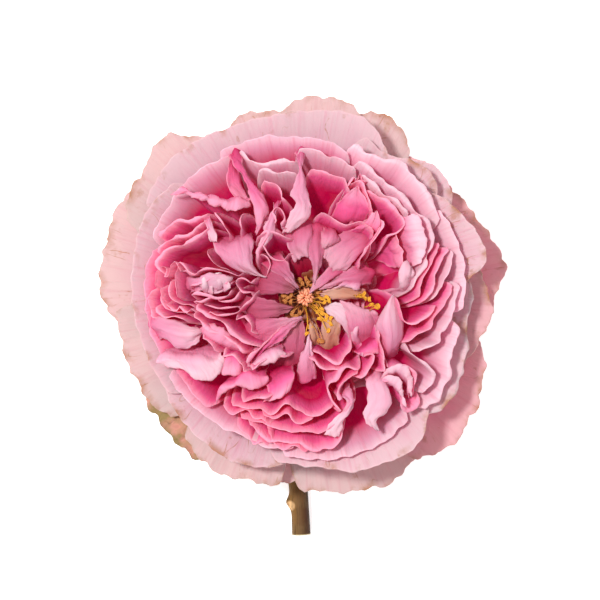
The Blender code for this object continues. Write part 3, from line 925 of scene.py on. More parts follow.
@dataclass
class Flaps(Part):
    """Broad sheets of one tissue that lean or fold over the flower's middle."""

    name: str
    flaps: tuple[Flap, ...]
    thickness: float = 0.2
    spacing: float = 0.5
    hidden_rows: int = 8  # rows of the part that goes down to the claw
    claw_height: float = 22.0
    claw_share: float = 0.35  # width of the claw, as a share of the first line's
    fraying: float = 0.35  # how far the free edges wander, in millimetres
    fray_mm: Span = (3.1, 4.3)  # length of the wander along the tip, and along the sides
    slant: float = 0.4
    # Height and length of the slanting waves, of the folds between them, and of the waves that
    # run up the sheet.
    wave: Span = (0.9, 7.0)
    fold: Span = (0.6, 3.3)
    swell: Span = (0.5, 5.0)
    held: float = 0.3  # share of the waves that is left far inside the free edge
    loose_mm: float = 3.0  # how fast the waves grow toward it
    creases: Span = (1.9, -1.5)  # heights
    crease_width: float = 0.12  # as a share of the flap's

    def surface(self, flap: Flap) -> tuple[np.ndarray, float]:
        """Lay a smooth surface through a flap's lines, and on down to its claw.

        Args:
            flap: the flap's row of the table.

        Returns:
            The surface's grid of points, and its width.
        """
        width = max(smooth_path(line, 2)[1] for line in flap.lines)
        columns = max(round(width / self.spacing), 10)
        knots = np.array([smooth_path(line, columns)[0] for line in flap.lines])
        middle = columns // 2
        bearing = np.unwrap(np.arctan2(knots[0, :, 1], knots[0, :, 0]))
        bearing = bearing[middle] + self.claw_share * (bearing - bearing[middle])
        outermost = np.hypot(*knots[0].mean(axis=0)[:2])
        claw = FOUNTAIN.claw_radius + outermost * FOUNTAIN.claw_radius_step
        reach = np.linalg.norm(np.diff(knots[:, middle], axis=0), axis=-1).sum()
        rows = max(round(reach / self.spacing), 8)
        t = np.linspace(0, 1, self.hidden_rows, endpoint=False)[:, None]
        grid = []
        for column, turn in enumerate(bearing):
            foot = np.array((claw * math.cos(turn), claw * math.sin(turn), self.claw_height))
            seen, _ = smooth_path(knots[:, column], rows, 3)
            bend = seen[0] * (0.97, 0.97, 0.6) + (0, 0, 0.4 * foot[2])
            grid.append(np.concatenate((arc(foot, bend, seen[0], t), seen)))
        return np.stack(grid, axis=1), width

    def sheet(self, flap: Flap, seed: float) -> Sheet:
        """Shape one flap.

        Args:
            flap: the flap's row of the table.
            seed: the flap's own number.

        Returns:
            The flap's middle surface.
        """
        points, width = self.surface(flap)
        rows, columns = points.shape[:2]
        across = np.linspace(0, 1, columns)[None, :] * width
        climbed = travelled(points)
        to_tip = climbed[-1] - climbed
        edge = np.minimum(to_tip, np.minimum(across, width - across))
        loose = self.held + (1 - self.held) * np.exp(-np.maximum(edge, 0) / self.loose_mm)
        slant = across + self.slant * climbed
        lift = loose * (self.wave[0] * ripple(slant, self.wave[1], seed)
                        + self.fold[0] * crinkle(slant, self.fold[1], seed))
        lift += self.swell[0] * ripple(climbed + 0.3 * across, self.swell[1], seed + 0.5)
        # Two creases run up the sheet, sharp in the middle: one stands up, the other is sunk.
        left_share = 0.3 + 0.15 * math.sin(40 * seed)
        right_share = 0.72 - 0.1 * math.sin(61 * seed)
        for share, height in zip((left_share, right_share), self.creases):
            aside = across - width * share + 0.5 * ripple(climbed, 9.0, seed + share)
            lift += height * np.exp(-np.abs(aside) / (self.crease_width * width))
        points = points + grid_normals(points) * (flap.crinkle * lift)[..., None]
        ahead = unit(np.gradient(points, axis=0))
        frayed = self.fraying * crinkle(across, self.fray_mm[0], seed + 0.2) * np.exp(-to_tip)
        points += ahead * frayed[..., None]
        sideways = unit(np.gradient(points, axis=1))
        at_sides = np.exp(-(width - across) / 0.8) - np.exp(-across / 0.8)
        frayed = self.fraying * crinkle(climbed, self.fray_mm[1], seed + 0.4) * at_sides
        points += sideways * frayed[..., None]
        row = np.arange(rows) - self.hidden_rows
        rise = np.where(row < 0, flap.deep * (1 + 0.4 * row / self.hidden_rows),
                        flap.deep + (1 - flap.deep) * row / row[-1])
        rise = np.broadcast_to(rise[:, None], edge.shape)
        place = np.stack((np.broadcast_to(across, edge.shape), climbed), axis=-1)
        return Sheet(points, rise, edge, place, self.thickness * (1.4 - 0.4 * rise))

    def build(self) -> None:
        """Shape every flap."""
        for number, flap in enumerate(self.flaps):
            seed = (number * SEED_STEP + len(self.name) * 0.11) % 1
            self.made.append((self.sheet(flap, seed).mesh(flap.name, seed), flap.node))


@dataclass(frozen=True)
class MoistTissue(Finish):
    """Style or anther tissue: a lumpy, slightly waxy surface, paler on its raised grains."""

    low: str
    high: str
    low_at: float = 0.35
    high_at: float = 0.8
    grain_mm: float = 0.45
    grain_share: float = 0.5  # how much the grains shift the colour
    grain_height_mm: float = 0.2
    roughness: float = 0.5

    def surface(self, tree: Tree) -> bpy.types.Node:
        """Build the shader.

        Args:
            tree: the material's node tree.

        Returns:
            The shader's last node.
        """
        place = add_node(tree, "TexCoord").outputs["Object"]
        grain = add_node(tree, "TexNoise", {
            "Vector": place, "Scale": 1 / (self.grain_mm * MM), "Detail": 3.0})
        rise = add_node(tree, "Attribute", attribute_name=Layer.RISE.value).outputs["Fac"]
        height = add_node(tree, "Math", {0: grain, 1: self.grain_share, 2: rise},
                          operation="MULTIPLY_ADD")
        colour = add_node(tree, "ValToRGB", {"Fac": height}, stops=(
            (self.low_at, linear(self.low)), (self.high_at, linear(self.high))))
        bump = add_node(tree, "Bump", {
            "Strength": 0.6, "Distance": self.grain_height_mm * MM, "Height": grain})
        return add_node(tree, "BsdfPrincipled", {
            "Base Color": colour, "Roughness": self.roughness, "Normal": bump,
            "Subsurface Weight": 0.15, "Subsurface Scale": 0.4 * MM, "Specular IOR Level": 0.4})


# Where the fresh anthers stand (x, y, z), then the spent ones, then those on a long petal's tip.
FRESH_ANTHERS: Points = (
    (4.3, -0.5, 37), (5.4, 0, 37.4), (5.8, -0.9, 37.4), (4.8, -1.3, 37.2), (3.2, -3.6, 37),
    (4.2, -4.2, 37.6), (5.3, -4.6, 38), (6.2, -5.2, 38.2), (5, -5.6, 38), (3.6, -5.3, 37.6),
    (6.2, -6.6, 38.4), (5.8, -8.2, 38.4), (0.4, -8.9, 37.6), (1.2, -7.6, 37.2), (4.2, -3, 37.2),
)
SPENT_ANTHERS: Points = (
    (3.2, 1, 34.6), (3.6, -0.2, 34.6), (3.9, 1.9, 34.8), (2.8, -2.2, 34.4), (4.6, 0.6, 35),
    (-1.7, 2.7, 34.2), (-0.6, 3.4, 34.2), (0.7, 3.5, 34.2), (1.7, 2.9, 34.2), (-1.2, 4.4, 34.4),
    (0.2, 4.5, 34.4), (-3.4, 0.4, 34.4), (-4.3, -0.2, 34.6), (-5.3, 0.2, 34.8), (-4.9, -1, 34.8),
    (-3.6, -1.2, 34.4), (-2.9, -3.6, 34.4), (-2.2, -4.6, 34.6), (-3.2, -4.4, 34.6),
    (-1.2, -3.9, 34.2), (3.3, -10.6, 37.9), (4.1, -11, 37.9),
)
STRAY_ANTHERS: Points = (
    (13.4, 0.2, 39.2), (14.6, -0.2, 39.9), (15.6, -0.6, 40.2), (14.4, 0.7, 39.6),
    (16.2, -1.8, 40.6), (17.4, -2.6, 41), (17.9, -2.2, 41),
)


@dataclass
class Stamens(Part):
    """Anthers on thin filaments that arch out from round the styles."""

    name: str
    heads: Points
    node: str = ""  # the CAD node that they replace, if any
    stray: bool = False  # whether they lie on a petal, on short filaments
    foot_radius: float = 1.9
    foot_height: float = 31.0
    arch: float = 0.9
    filament_radius: float = 0.12
    filament_rings: int = 12
    filament_sides: int = 6
    waver: float = 0.25
    anther_length: float = 1.4
    anther_radius: float = 0.22
    sides: int = 8

    def filament(self, head: np.ndarray, foot: np.ndarray) -> np.ndarray:
        """A thread from its foot to under its anther.

        Args:
            head: where the anther stands.
            foot: where the thread starts.

        Returns:
            The thread's rings.
        """
        bend = np.array((*(0.6 * foot + 0.4 * head)[:2], head[2] + self.arch))
        t = np.linspace(0, 1, self.filament_rings)[:, None]
        path = arc(foot, bend, head, t)
        path[:, 0] += self.waver * np.sin(7 * t[:, 0] + head[1])
        path[:, 1] += self.waver * np.sin(6 * t[:, 0] + head[0])
        return sweep(path, np.full(len(t), self.filament_radius), self.filament_sides)

    def lobe(self, centre: np.ndarray, way: np.ndarray) -> np.ndarray:
        """One of an anther's two halves: a small curled bean.

        Args:
            centre: its middle.
            way: the direction it lies in.

        Returns:
            The lobe's rings.
        """
        t = np.linspace(-1, 1, 9)
        path = centre + (t * self.anther_length / 2)[:, None] * way
        path += np.outer(0.3 * t**2, (-way[1], way[0], -0.4))
        radii = self.anther_radius * np.sqrt(np.maximum(1 - t**2 * 0.96, 0.02))
        return sweep(path, radii, self.sides)

    def build(self) -> None:
        """Shape every filament and anther as one mesh."""
        rings, rise = [], []
        for number, head in enumerate(self.heads):
            head = np.asarray(head, float)
            around = math.atan2(head[1], head[0]) + 0.5 * math.sin(3.7 * number)
            foot = np.array((self.foot_radius * math.cos(around),
                             self.foot_radius * math.sin(around), self.foot_height))
            if self.stray:
                foot = head + np.array((-1.6, 0.6 * math.sin(number), -0.5))
            turn = 2.4 * number
            way = np.array((math.cos(turn), math.sin(turn), 0.25 * math.sin(5 * number)))
            beside = np.array((-way[1], way[0], 0.0)) * self.anther_radius * 0.85
            thread = self.filament(head, foot)
            lobes = [self.lobe(head + beside, way), self.lobe(head - beside, way)]
            for run, low, high in ((thread, 0.25, 0.6), (lobes[0], 0.6, 1.0), (lobes[1], 0.6, 1.0)):
                rings.append(run)
                rise.append(np.linspace(low, high, len(run)))
        self.made.append((rings_mesh(self.name, rings, np.concatenate(rise)), self.node))


@dataclass
class Disc(Part):
    """The flower's brown, bumpy disc: a shallow dish round the styles, on which stamens stand."""

    inner: Span = (0.6, 29.0)  # radius and height
    outer: Span = (6.6, 33.2)
    ragged: float = 0.1  # how far its edge wanders, as a share of the radius
    lumps: float = 0.35
    thickness: float = 0.3
    columns: int = 96
    rows: int = 20

    def build(self) -> None:
        """Shape the dish as a thin sheet."""
        up = np.linspace(0, 1, self.rows)[:, None]
        turn = np.linspace(0, 2 * math.pi, self.columns)[None, :]
        ragged = 1 + self.ragged * up**2 * ripple(turn * 4, 2 * math.pi, 0.3)
        radius = (self.inner[0] + (self.outer[0] - self.inner[0]) * up) * ragged
        height = self.inner[1] + (self.outer[1] - self.inner[1]) * up**0.7
        height = height + self.lumps * np.sin(9 * turn) * np.sin(radius * 2.6) * up
        points = np.stack((radius * np.cos(turn), radius * np.sin(turn), height), axis=-1)
        level = np.broadcast_to(up, radius.shape)
        flat = np.stack((radius * turn, radius), axis=-1)
        sheet = Sheet(points, level, radius, flat, np.full(radius.shape, self.thickness))
        self.made.append((sheet.mesh("stamen_disc", 0.0), ""))


@dataclass
class Styles(Part):
    """A tight brush of styles, each ending in a stigma that leans outward as a plump lobe."""

    count: int = 26
    spread: float = 0.28
    foot_height: float = 20.4
    head_height: float = 32.4
    neck_radius: float = 0.2
    lobe_radius: float = 0.36
    lobe_reach: float = 1.15
    sides: int = 9

    def build(self) -> None:
        """Shape every style as one mesh."""
        golden = math.pi * (3 - math.sqrt(5))
        lean = np.array((0.2, 0.5, 0.75, 0.92, 1.0)) * self.lobe_reach
        nod = np.array((0.16, 0.18, 0.06, -0.1, -0.22))
        radii = np.array((1, 1, 1.2, *(np.array((0.8, 1, 1, 0.7, 0.2))
                                       * self.lobe_radius / self.neck_radius)))
        rings, rise = [], []
        for number in range(self.count):
            out = self.spread * math.sqrt(number + 0.3)
            turn = golden * number
            height = self.head_height - 0.4 * out**2 + 0.3 * math.sin(5.3 * number)
            way = np.array((math.cos(turn), math.sin(turn), 0.0))
            foot = 0.5 * out * way + (0, 0, self.foot_height)
            head = out * way + (0, 0, height)
            stalk = foot + (head - foot) * np.array((0, 0.5, 1.0))[:, None]
            turned = turn + 0.6 * math.sin(7.1 * number)
            ahead = np.array((math.cos(turned), math.sin(turned), 0.0))
            lobe = head + lean[:, None] * ahead
            lobe[:, 2] += nod
            rings.append(sweep(np.concatenate((stalk, lobe)), radii * self.neck_radius, self.sides))
            rise.append((0, 0.4, 0.7, 0.8, 0.95, 1.0, 1.0, 0.9))
        self.made.append((rings_mesh("style_brush", rings, np.concatenate(rise)), "styles"))


@dataclass(frozen=True)
class Bark(Finish):
    """Rose stem: green skin on the hip, then bark with fine lengthwise cracks.

    The bark is painted lighter tan on the side toward the lamp and darker brown on the other, as painted
    light and shade, with a pale leaf scar near the pale cut. A span gives where a colour starts to cover
    the others and where it covers most.
    """

    name: str = "rose_bark"
    hip: str = "#6E8046"
    neck: str = "#6A5636"
    # painted light and shade: the colour of the stem's lit side, then of its shaded side
    painted_lit_side: str = "#7E5C30"
    bark: str = "#42281A"
    crack: str = "#24180E"
    cut: str = "#C9B486"
    scar: str = "#D2A878"
    # Shares of the way from the receptacle to the cut.
    hip_end: Span = (0.12, 0.25)
    bark_span: Span = (0.25, 0.45)
    crack_start: Span = (0.15, 0.4)
    cut_span: Span = (0.996, 0.999)
    painted_light_span: Span = (-3.2, 1.2)  # millimetres across the stem over which the painted light turns to painted shade
    scar_at: tuple[float, float, float] = (-3.0, -48.3, 4.2)
    scar_mm: float = 1.5
    blotch_mm: float = 4.0
    blotch_span: Span = (0.45, 0.7)
    blotch_cover: float = 0.4
    crack_mm: float = 0.5
    crack_length_mm: float = 5.0
    crack_span: Span = (0.52, 0.7)
    crack_cover: float = 0.65
    crack_depth_mm: float = 0.2
    roughness: float = 0.6

    def surface(self, tree: Tree) -> bpy.types.Node:
        """Build the shader.

        Args:
            tree: the material's node tree.

        Returns:
            The shader's last node.
        """
        rise = add_node(tree, "Attribute", attribute_name=Layer.RISE.value).outputs["Fac"]
        place = add_node(tree, "TexCoord").outputs["Object"]
        narrow, long = 1 / (self.crack_mm * MM), 1 / (self.crack_length_mm * MM)
        stretched = add_node(tree, "VectorMath", {0: place, 1: (narrow, long, narrow)},
                             operation="MULTIPLY")
        cracks = add_node(tree, "TexNoise", {"Vector": stretched, "Scale": 1.0, "Detail": 4.0})
        blotches = add_node(tree, "TexNoise", {
            "Vector": place, "Scale": 1 / (self.blotch_mm * MM), "Detail": 3.0})
        across = add_node(tree, "SeparateXYZ", {0: place}).outputs["X"]
        from_scar = add_node(tree, "VectorMath", {
            0: place, 1: tuple(c * MM for c in self.scar_at)}, operation="DISTANCE")
        shaded, aged, blotched, scarred, sawn, cracked, barked = (
            add_node(tree, "MapRange", {
                "Value": value, "From Min": start, "From Max": full, "To Max": cover})
            for value, start, full, cover in (
                (across, self.painted_light_span[0] * MM, self.painted_light_span[1] * MM, 1.0),
                (rise, *self.bark_span, 1.0),
                (blotches, *self.blotch_span, self.blotch_cover),
                (from_scar, self.scar_mm * MM, 0.6 * self.scar_mm * MM, 1.0),
                (rise, *self.cut_span, 1.0),
                (cracks, *self.crack_span, self.crack_cover),
                (rise, *self.crack_start, 1.0)))
        # Painted light and shade: the stem's left side is coloured lighter tan and its right side darker
        # brown, as the lamp lights them.
        painted_side_light = add_node(tree, "Mix", {
            "Factor": shaded, MIX_A: linear(self.painted_lit_side), MIX_B: linear(self.bark)},
            data_type="RGBA")
        split = add_node(tree, "Math", {0: cracked, 1: barked}, operation="MULTIPLY")
        colour = add_node(tree, "ValToRGB", {"Fac": rise}, stops=(
            (self.hip_end[0], linear(self.hip)),
            (self.hip_end[1], linear(self.neck))))
        for cover, over in ((aged, painted_side_light), (blotched, linear(self.neck)),
                            (scarred, linear(self.scar)), (sawn, linear(self.cut)),
                            (split, linear(self.crack))):
            colour = add_node(tree, "Mix", {"Factor": cover, MIX_A: colour, MIX_B: over},
                              data_type="RGBA")
        bump = add_node(tree, "Bump", {
            "Strength": 0.6, "Distance": self.crack_depth_mm * MM,
            "Height": cracks})
        return add_node(tree, "BsdfPrincipled", {
            "Base Color": colour, "Roughness": self.roughness, "Specular IOR Level": 0.15,
            "Normal": bump})


# Where the stem's middle runs and how thick it is: x, y, z, radius.
STEM_STATIONS: Points = (
    (0, 0, 19.9, 0.9), (0, 0, 18.2, 4.4), (0, 0, 16.3, 7.8), (0, 0, 15.1, 7.9), (0, 0, 13.6, 6.4),
    (0, 0, 11.2, 5.7), (0, -0.3, 8.6, 4.6), (0, -1.4, 6.1, 3.3), (-0.4, -4.0, 3.9, 2.75),
    (-1.0, -8.0, 2.85, 2.6), (-1.8, -18.0, 2.6, 2.5), (-2.3, -32.0, 2.6, 2.45),
    (-2.1, -45.0, 2.6, 2.35), (-1.6, -50.0, 2.6, 2.35), (-1.2, -55.0, 2.6, 2.35),
    (-0.9, -61.0, 2.6, 2.4),
)


@dataclass
class Stem(Part):
    """Hip, neck and stem, grown as one, with a leaf scar above the cut."""

    sides: int = 40
    rings: int = 150
    ribs: float = 0.05  # height of the ribs along it
    oval: float = 0.02  # how far it is from round, as a share of its radius
    scar_y: float = -52.7
    scar_height: float = 1.2
    scar_length: float = 1.6
    scar_only_below_y: float = -40.0
    clearance: float = 0.03

    def build(self) -> None:
        """Sweep the stem along its stations."""
        stations = np.asarray(STEM_STATIONS, float)
        reached = travelled(stations[:, :3])
        along = np.linspace(0, reached[-1], self.rings)
        path = np.column_stack([read_table(along, reached, c) for c in stations.T[:3]])
        radius = read_table(along, reached, stations[:, 3])
        turn = np.linspace(0, 2 * math.pi, self.sides, endpoint=False)[None, :]
        ribs = self.ribs * ripple(turn * 3 + 0.15 * along[:, None], 1.9, 0.4)
        oval = 1 + self.oval * np.sin(2 * turn + along[:, None] / 4)
        uneven = radius[:, None] * oval + ribs
        run = sweep(path, uneven, self.sides)
        off = (run[..., 1] - self.scar_y) / self.scar_length
        leftward = np.clip(-(run[..., 0] - path[:, None, 0]) / radius[:, None], 0, 1)
        near_cut = run[..., 1] < self.scar_only_below_y
        run[..., 0] -= self.scar_height * np.exp(-off**2) * leftward**1.5 * near_cut
        run[..., 2] = np.maximum(run[..., 2], self.clearance)
        mesh = rings_mesh("stem_wood", [run], np.linspace(0, 1, self.rings))
        self.made.append((mesh, "stem"))


@dataclass(frozen=True)
class SepalSkin(Finish):
    """Sepal: a dull olive-green leaf, downy and paler on its inner face."""

    name: str = "sepal_skin"
    green: str = "#6F7A3C"
    tip: str = "#8A8250"
    down: str = "#A9AE82"
    vein: str = "#4E5A28"
    vein_mm: Span = (0.7, 5.6)  # across and along
    vein_span: Span = (0.5, 0.8)  # values of the noise at which veins start and are full
    vein_cover: float = 0.4
    vein_height_mm: float = 0.2
    roughness: float = 0.65

    def surface(self, tree: Tree) -> bpy.types.Node:
        """Build the shader.

        Args:
            tree: the material's node tree.

        Returns:
            The shader's last node.
        """
        rise, outer = (add_node(tree, "Attribute", attribute_name=layer.value).outputs["Fac"]
                       for layer in (Layer.RISE, Layer.OUTER))
        place = add_node(tree, "Attribute", attribute_name=PLACE_LAYER).outputs["Vector"]
        stretched = add_node(tree, "VectorMath", {
            0: place, 1: (1 / self.vein_mm[0], 1 / self.vein_mm[1], 1.0)},
            operation="MULTIPLY")
        veins = add_node(tree, "TexNoise", {"Vector": stretched, "Scale": 1.0, "Detail": 3.0})
        lined = add_node(tree, "MapRange", {
            "Value": veins, "From Min": self.vein_span[0], "From Max": self.vein_span[1],
            "To Max": self.vein_cover})
        green = add_node(tree, "Mix", {
            "Factor": rise, MIX_A: linear(self.green), MIX_B: linear(self.tip)},
            data_type="RGBA")
        faced = add_node(tree, "Mix", {"Factor": outer, MIX_A: linear(self.down), MIX_B: green},
                         data_type="RGBA")
        colour = add_node(tree, "Mix", {"Factor": lined, MIX_A: faced, MIX_B: linear(self.vein)},
                          data_type="RGBA")
        bump = add_node(tree, "Bump", {
            "Strength": 0.4, "Distance": self.vein_height_mm * MM, "Height": veins})
        return add_node(tree, "BsdfPrincipled", {
            "Base Color": colour, "Roughness": self.roughness, "Normal": bump, "Sheen Weight": 0.2})


@dataclass
class Calyx(Part):
    """Five sepals, reflexed from the hip's rim down to the table."""

    # Each sepal's bearing, in degrees, and how far out its tip reaches.
    places: Points = ((358, 46.5), (66, 41), (138, 42), (214, 41), (292, 40))
    midrib: Points = ((7.2, 13.4), (9.5, 10.6), (14, 7.2), (22, 3.9), (32, 1.3), (41, 0.34))
    half_widths: tuple[float, ...] = (2.9, 4.0, 4.2, 3.6, 2.8, 2.0, 1.3, 0.5)
    cup: float = -0.4  # how far the edges stand above the middle
    wave: float = 0.3  # how far the edges wave
    wave_mm: float = 5.0
    ragged: float = 0.09  # how far they wander, as a share of the sepal's half width
    ragged_mm: float = 4.0
    flat_mm: float = 1.5  # half width below which it flattens toward the tip
    thickness: float = 0.45
    clearance: float = 0.02
    rows: int = 48
    columns: int = 13

    def sheet(self, bearing: float, reach: float, seed: float) -> Sheet:
        """Shape one sepal along its midrib.

        Args:
            bearing: the way that it points, in degrees.
            reach: how far out its tip is.
            seed: the sepal's own number.

        Returns:
            The sepal's middle surface.
        """
        turn = math.radians(bearing)
        radius, height = np.array(self.midrib).T
        radius = radius[0] + (radius - radius[0]) * (reach - radius[0]) / (radius[-1] - radius[0])
        v = np.linspace(0, 1, self.rows)
        middle = np.column_stack([
            read_table(v, np.linspace(0, 1, len(radius)), c)
            for c in (radius * math.cos(turn), radius * math.sin(turn), height)])
        width = read_table(v, np.linspace(0, 1, len(self.half_widths)), self.half_widths)[:, None]
        climbed = travelled(middle)[:, None]
        side = np.tile((-math.sin(turn), math.cos(turn), 0.0), (self.rows, 1))
        normal = unit(np.cross(side, unit(np.gradient(middle, axis=0))))
        across = np.linspace(-1, 1, self.columns)[None, :]
        ragged = self.ragged * ripple(climbed, self.ragged_mm, seed)
        out = across * width * (1 + ragged * np.abs(across))
        waves = ripple(climbed + 3 * np.sign(across), self.wave_mm, seed + 0.4)
        lift = self.cup * (across**2 - 0.3) + self.wave * np.abs(across) ** 1.5 * waves
        lift = lift * np.minimum(1, width / self.flat_mm)
        points = middle[:, None] + side[:, None] * out[..., None] + normal[:, None] * lift[..., None]
        points[..., 2] = np.maximum(points[..., 2], self.thickness / 2 + self.clearance)
        edge = np.minimum((1 - np.abs(across)) * width, climbed[-1] - climbed)
        rise = np.broadcast_to(v[:, None], edge.shape)
        place = np.stack((out, np.broadcast_to(climbed, edge.shape)), axis=-1)
        return Sheet(points, rise, edge, place, np.full(edge.shape, self.thickness))

    def build(self) -> None:
        """Shape the five sepals."""
        for number, (bearing, reach) in enumerate(self.places, start=1):
            seed = 0.17 * number
            sheet = self.sheet(bearing, reach, seed)
            self.made.append((sheet.mesh(f"sepal_blade_{number}", seed), f"sepal_{number}"))


@dataclass(frozen=True)
class WhiteAcrylic(Finish):
    """Opal acrylic sheet lit from below: an even white with only faint shadows."""

    name: str = "opal_acrylic"
    colour: str = "#F7F6F5"
    glow: float = 0.6

    def surface(self, tree: Tree) -> bpy.types.Node:
        """Build the shader.

        Args:
            tree: the material's node tree.

        Returns:
            The shader's last node.
        """
        return add_node(tree, "BsdfPrincipled", {
            "Base Color": linear(self.colour), "Roughness": 0.7, "Specular IOR Level": 0.2,
            "Emission Color": (1.0, 1.0, 1.0, 1.0), "Emission Strength": self.glow})


@dataclass
class Studio:
    """Floor, soft light and the camera that looks straight down on the bloom."""

    acrylic: WhiteAcrylic
    floor_half: float = 3.0
    camera_distance: float = 0.70
    frame_width: float = 0.150  # width of the view at the height of the bloom's rim
    sensor_mm: float = 36.0
    focus_height: float = 0.022
    aim: tuple[float, float] = (-1.25, -0.75)  # millimetres from the flower's axis
    key_bearing_deg: float = 152.0
    key_elevation_deg: float = 70.0
    key_distance: float = 1.2
    key_size: float = 0.16
    key_watts: float = 14.5
    key_colour: tuple[float, float, float] = (1.0, 0.99, 0.975)
    sky: float = 0.65
    bounces: int = 24

    def build(self) -> None:
        """Lay the floor and set the camera."""
        half = self.floor_half
        mesh = bpy.data.meshes.new("floor")
        corners = [(-half, -half, 0), (half, -half, 0), (half, half, 0), (-half, half, 0)]
        mesh.from_pydata(corners, [], [(0, 1, 2, 3)])
        floor = put("floor", mesh)
        mesh.materials.append(self.acrylic.make())

        camera = bpy.data.cameras.new("camera")
        camera.sensor_width = self.sensor_mm
        camera.lens = self.sensor_mm * self.camera_distance / self.frame_width
        camera.clip_start, camera.clip_end = 0.01, 10
        holder = put("camera", camera)
        aim = (AXIS[:2] + self.aim) * MM
        holder.location = (aim[0], aim[1], self.focus_height + self.camera_distance)
        bpy.context.scene.camera = holder

    def dress(self) -> None:
        """Hang the lights."""
        bearing, elevation = map(math.radians, (self.key_bearing_deg, self.key_elevation_deg))
        way = Vector((math.cos(bearing) * math.cos(elevation),
                      math.sin(bearing) * math.cos(elevation), math.sin(elevation)))
        key = bpy.data.lights.new("key", "AREA")
        key.shape = "DISK"
        key.size = self.key_size
        key.energy = self.key_watts
        key.color = self.key_colour
        lamp = put("key", key)
        lamp.location = way * self.key_distance
        lamp.rotation_euler = (-way).to_track_quat("-Z", "Y").to_euler()
        world = bpy.data.worlds.new("white_room")
        world.use_nodes = True
        background = world.node_tree.nodes["Background"]
        background.inputs["Color"].default_value = (1, 1, 1, 1)
        background.inputs["Strength"].default_value = self.sky
        scene = bpy.context.scene
        scene.world = world
        scene.view_settings.view_transform = "Standard"
        # Light bounces many times between petals before a hollow swallows it.
        scene.cycles.max_bounces = self.bounces
        scene.cycles.diffuse_bounces = self.bounces
        scene.cycles.transmission_bounces = self.bounces


GUARD_FRAMED = (
    Petal("guard_top", ((15, 44.5), (11.5, 48), (8.5, 49.4), (4, 49.8), (0.5, 50.3), (-4, 48),
        (-8, 45)), shells=(49.4, 50)),
    Petal("guard_top_right", ((26, 33), (26, 38), (24, 42.5), (20, 46), (14, 46), (10, 45)),
        shells=(52.2, 51.8)),
    Petal("guard_bottom_right", ((-4, -41.5), (-1.2, -48.2), (4, -48.6), (10, -49), (16, -48),
        (21.5, -47), (25, -43.5), (30, -38)), shells=(51.6, 52)),
    Petal("guard_bottom_left", ((-30, -35), (-26, -40.5), (-21, -44), (-14, -45.6), (-6.8, -46.6),
        (-4.6, -41)), shells=(48.6, 49)),
    Petal("guard_left_lower", ((-47.5, -4), (-45.8, -11), (-44.5, -16), (-42, -21), (-38.5, -26.5),
        (-34, -30)), shells=(49.8, 50)),
    Petal("guard_left", ((-42, 28.5), (-47.6, 22), (-50, 13.5), (-51.6, 5), (-50.3, -2), (-46, -8)),
        shells=(51.6, 52)),
    Petal("guard_left_upper", ((-21, 41), (-29, 40), (-34, 40.8), (-38.5, 36), (-40, 32), (-44, 26),
        (-45, 20)), shells=(49.4, 49.6)),
    Petal("guard_top_left", ((-2, 46.5), (-8, 46.7), (-16, 45.8), (-19, 42.5), (-25, 39)),
        shells=(51.6, 52)),
)
WILTED_FRAMED = (
    Petal("guard_left_wilted", ((-40, -21), (-39, -27), (-36, -31), (-32.5, -35.5), (-28, -39.8),
        (-23, -41)), shells=(52, 52), rim=1.4),
)
# Guards on the right and lower right, whose pinker tissue paints the shade that falls on them.
SHADED_GUARD_FRAMED = (
    Petal("guard_right_upper", ((37, 23), (36.8, 27.5), (34, 30.5), (30, 34), (25, 35.8), (21, 36)),
        shells=(53.6, 53.8)),
    Petal("guard_right", ((43.5, -10), (47, -4), (48, 1), (49.8, 5), (50.3, 8.5), (47, 14.5), (43, 20),
        (40, 24), (35.5, 28)), shells=(51.8, 51.4)),
    Petal("guard_right_inner", ((38.5, -18), (41.5, -14), (44.3, -9), (46.5, -4), (45.5, 1),
        (43.5, 6.5), (40.5, 9)), shells=(47.6, 48.6)),
    Petal("guard_right_lower", ((28, -41), (34, -38.5), (38.5, -35.5), (40.5, -31), (43.2, -28),
        (43.8, -23), (45, -17), (43.5, -11), (42, -6)), shells=(50, 49.8)),
)
GUARD_EXTRA = (
    Petal("guard_behind", ((5, -43), (1, -45.6), (-4, -46.4), (-9, -45.6), (-13, -43)),
        shells=(53, 53)),
)

SPREADING_FRAMED = (
    Petal("spreading_top", ((21, 33), (20, 37), (15, 44), (9, 45.8), (0, 46), (-8, 45), (-17, 42.5),
        (-26, 39), (-33, 34), (-37, 29), (-39.6, 24)), shells=(45, 46.4, 46.6, 46, 46)),
    Petal("spreading_upper_right", ((30, 21), (32.3, 24.5), (32.3, 27.5), (30.5, 31), (26.5, 33.4),
        (20.5, 35), (15, 39.5)), shells=(43.6, 44.4)),
    Petal("spreading_right_behind", ((34.5, 19), (36.3, 23.5), (36, 27), (33.5, 31), (30, 33.3),
        (26, 34)), shells=(46.6, 46.4)),
    Petal("spreading_right", ((40, 4), (44.2, 8.8), (43.3, 13), (39, 19.5), (34, 24), (27.5, 27.3)),
        shells=(42.2, 42, 42)),
    Petal("spreading_right_lower", ((30.5, -28.7), (35, -26), (37, -21), (39.3, -15), (39.2, -9),
        (40.3, -2), (40.5, 4), (39, 9)), shells=(43, 44), rim=0.8),
    Petal("spreading_bottom", ((-7, -40.5), (2, -41.5), (12, -42.5), (20, -40.2), (26, -37.5),
        (28.8, -33.5), (30.6, -27)), shells=(42, 41.6)),
    Petal("spreading_left_lower", ((-35.5, -20), (-32, -28), (-26, -34.5), (-19, -39.8), (-11, -41.8),
        (-1, -40.5)), shells=(43.4, 44.4)),
    Petal("spreading_left", ((-33, 28), (-38.5, 21.5), (-41.5, 13), (-42.5, 4), (-41.5, -6),
        (-38.5, -15), (-34, -23.5)), shells=(43.4, 42.6)),
)

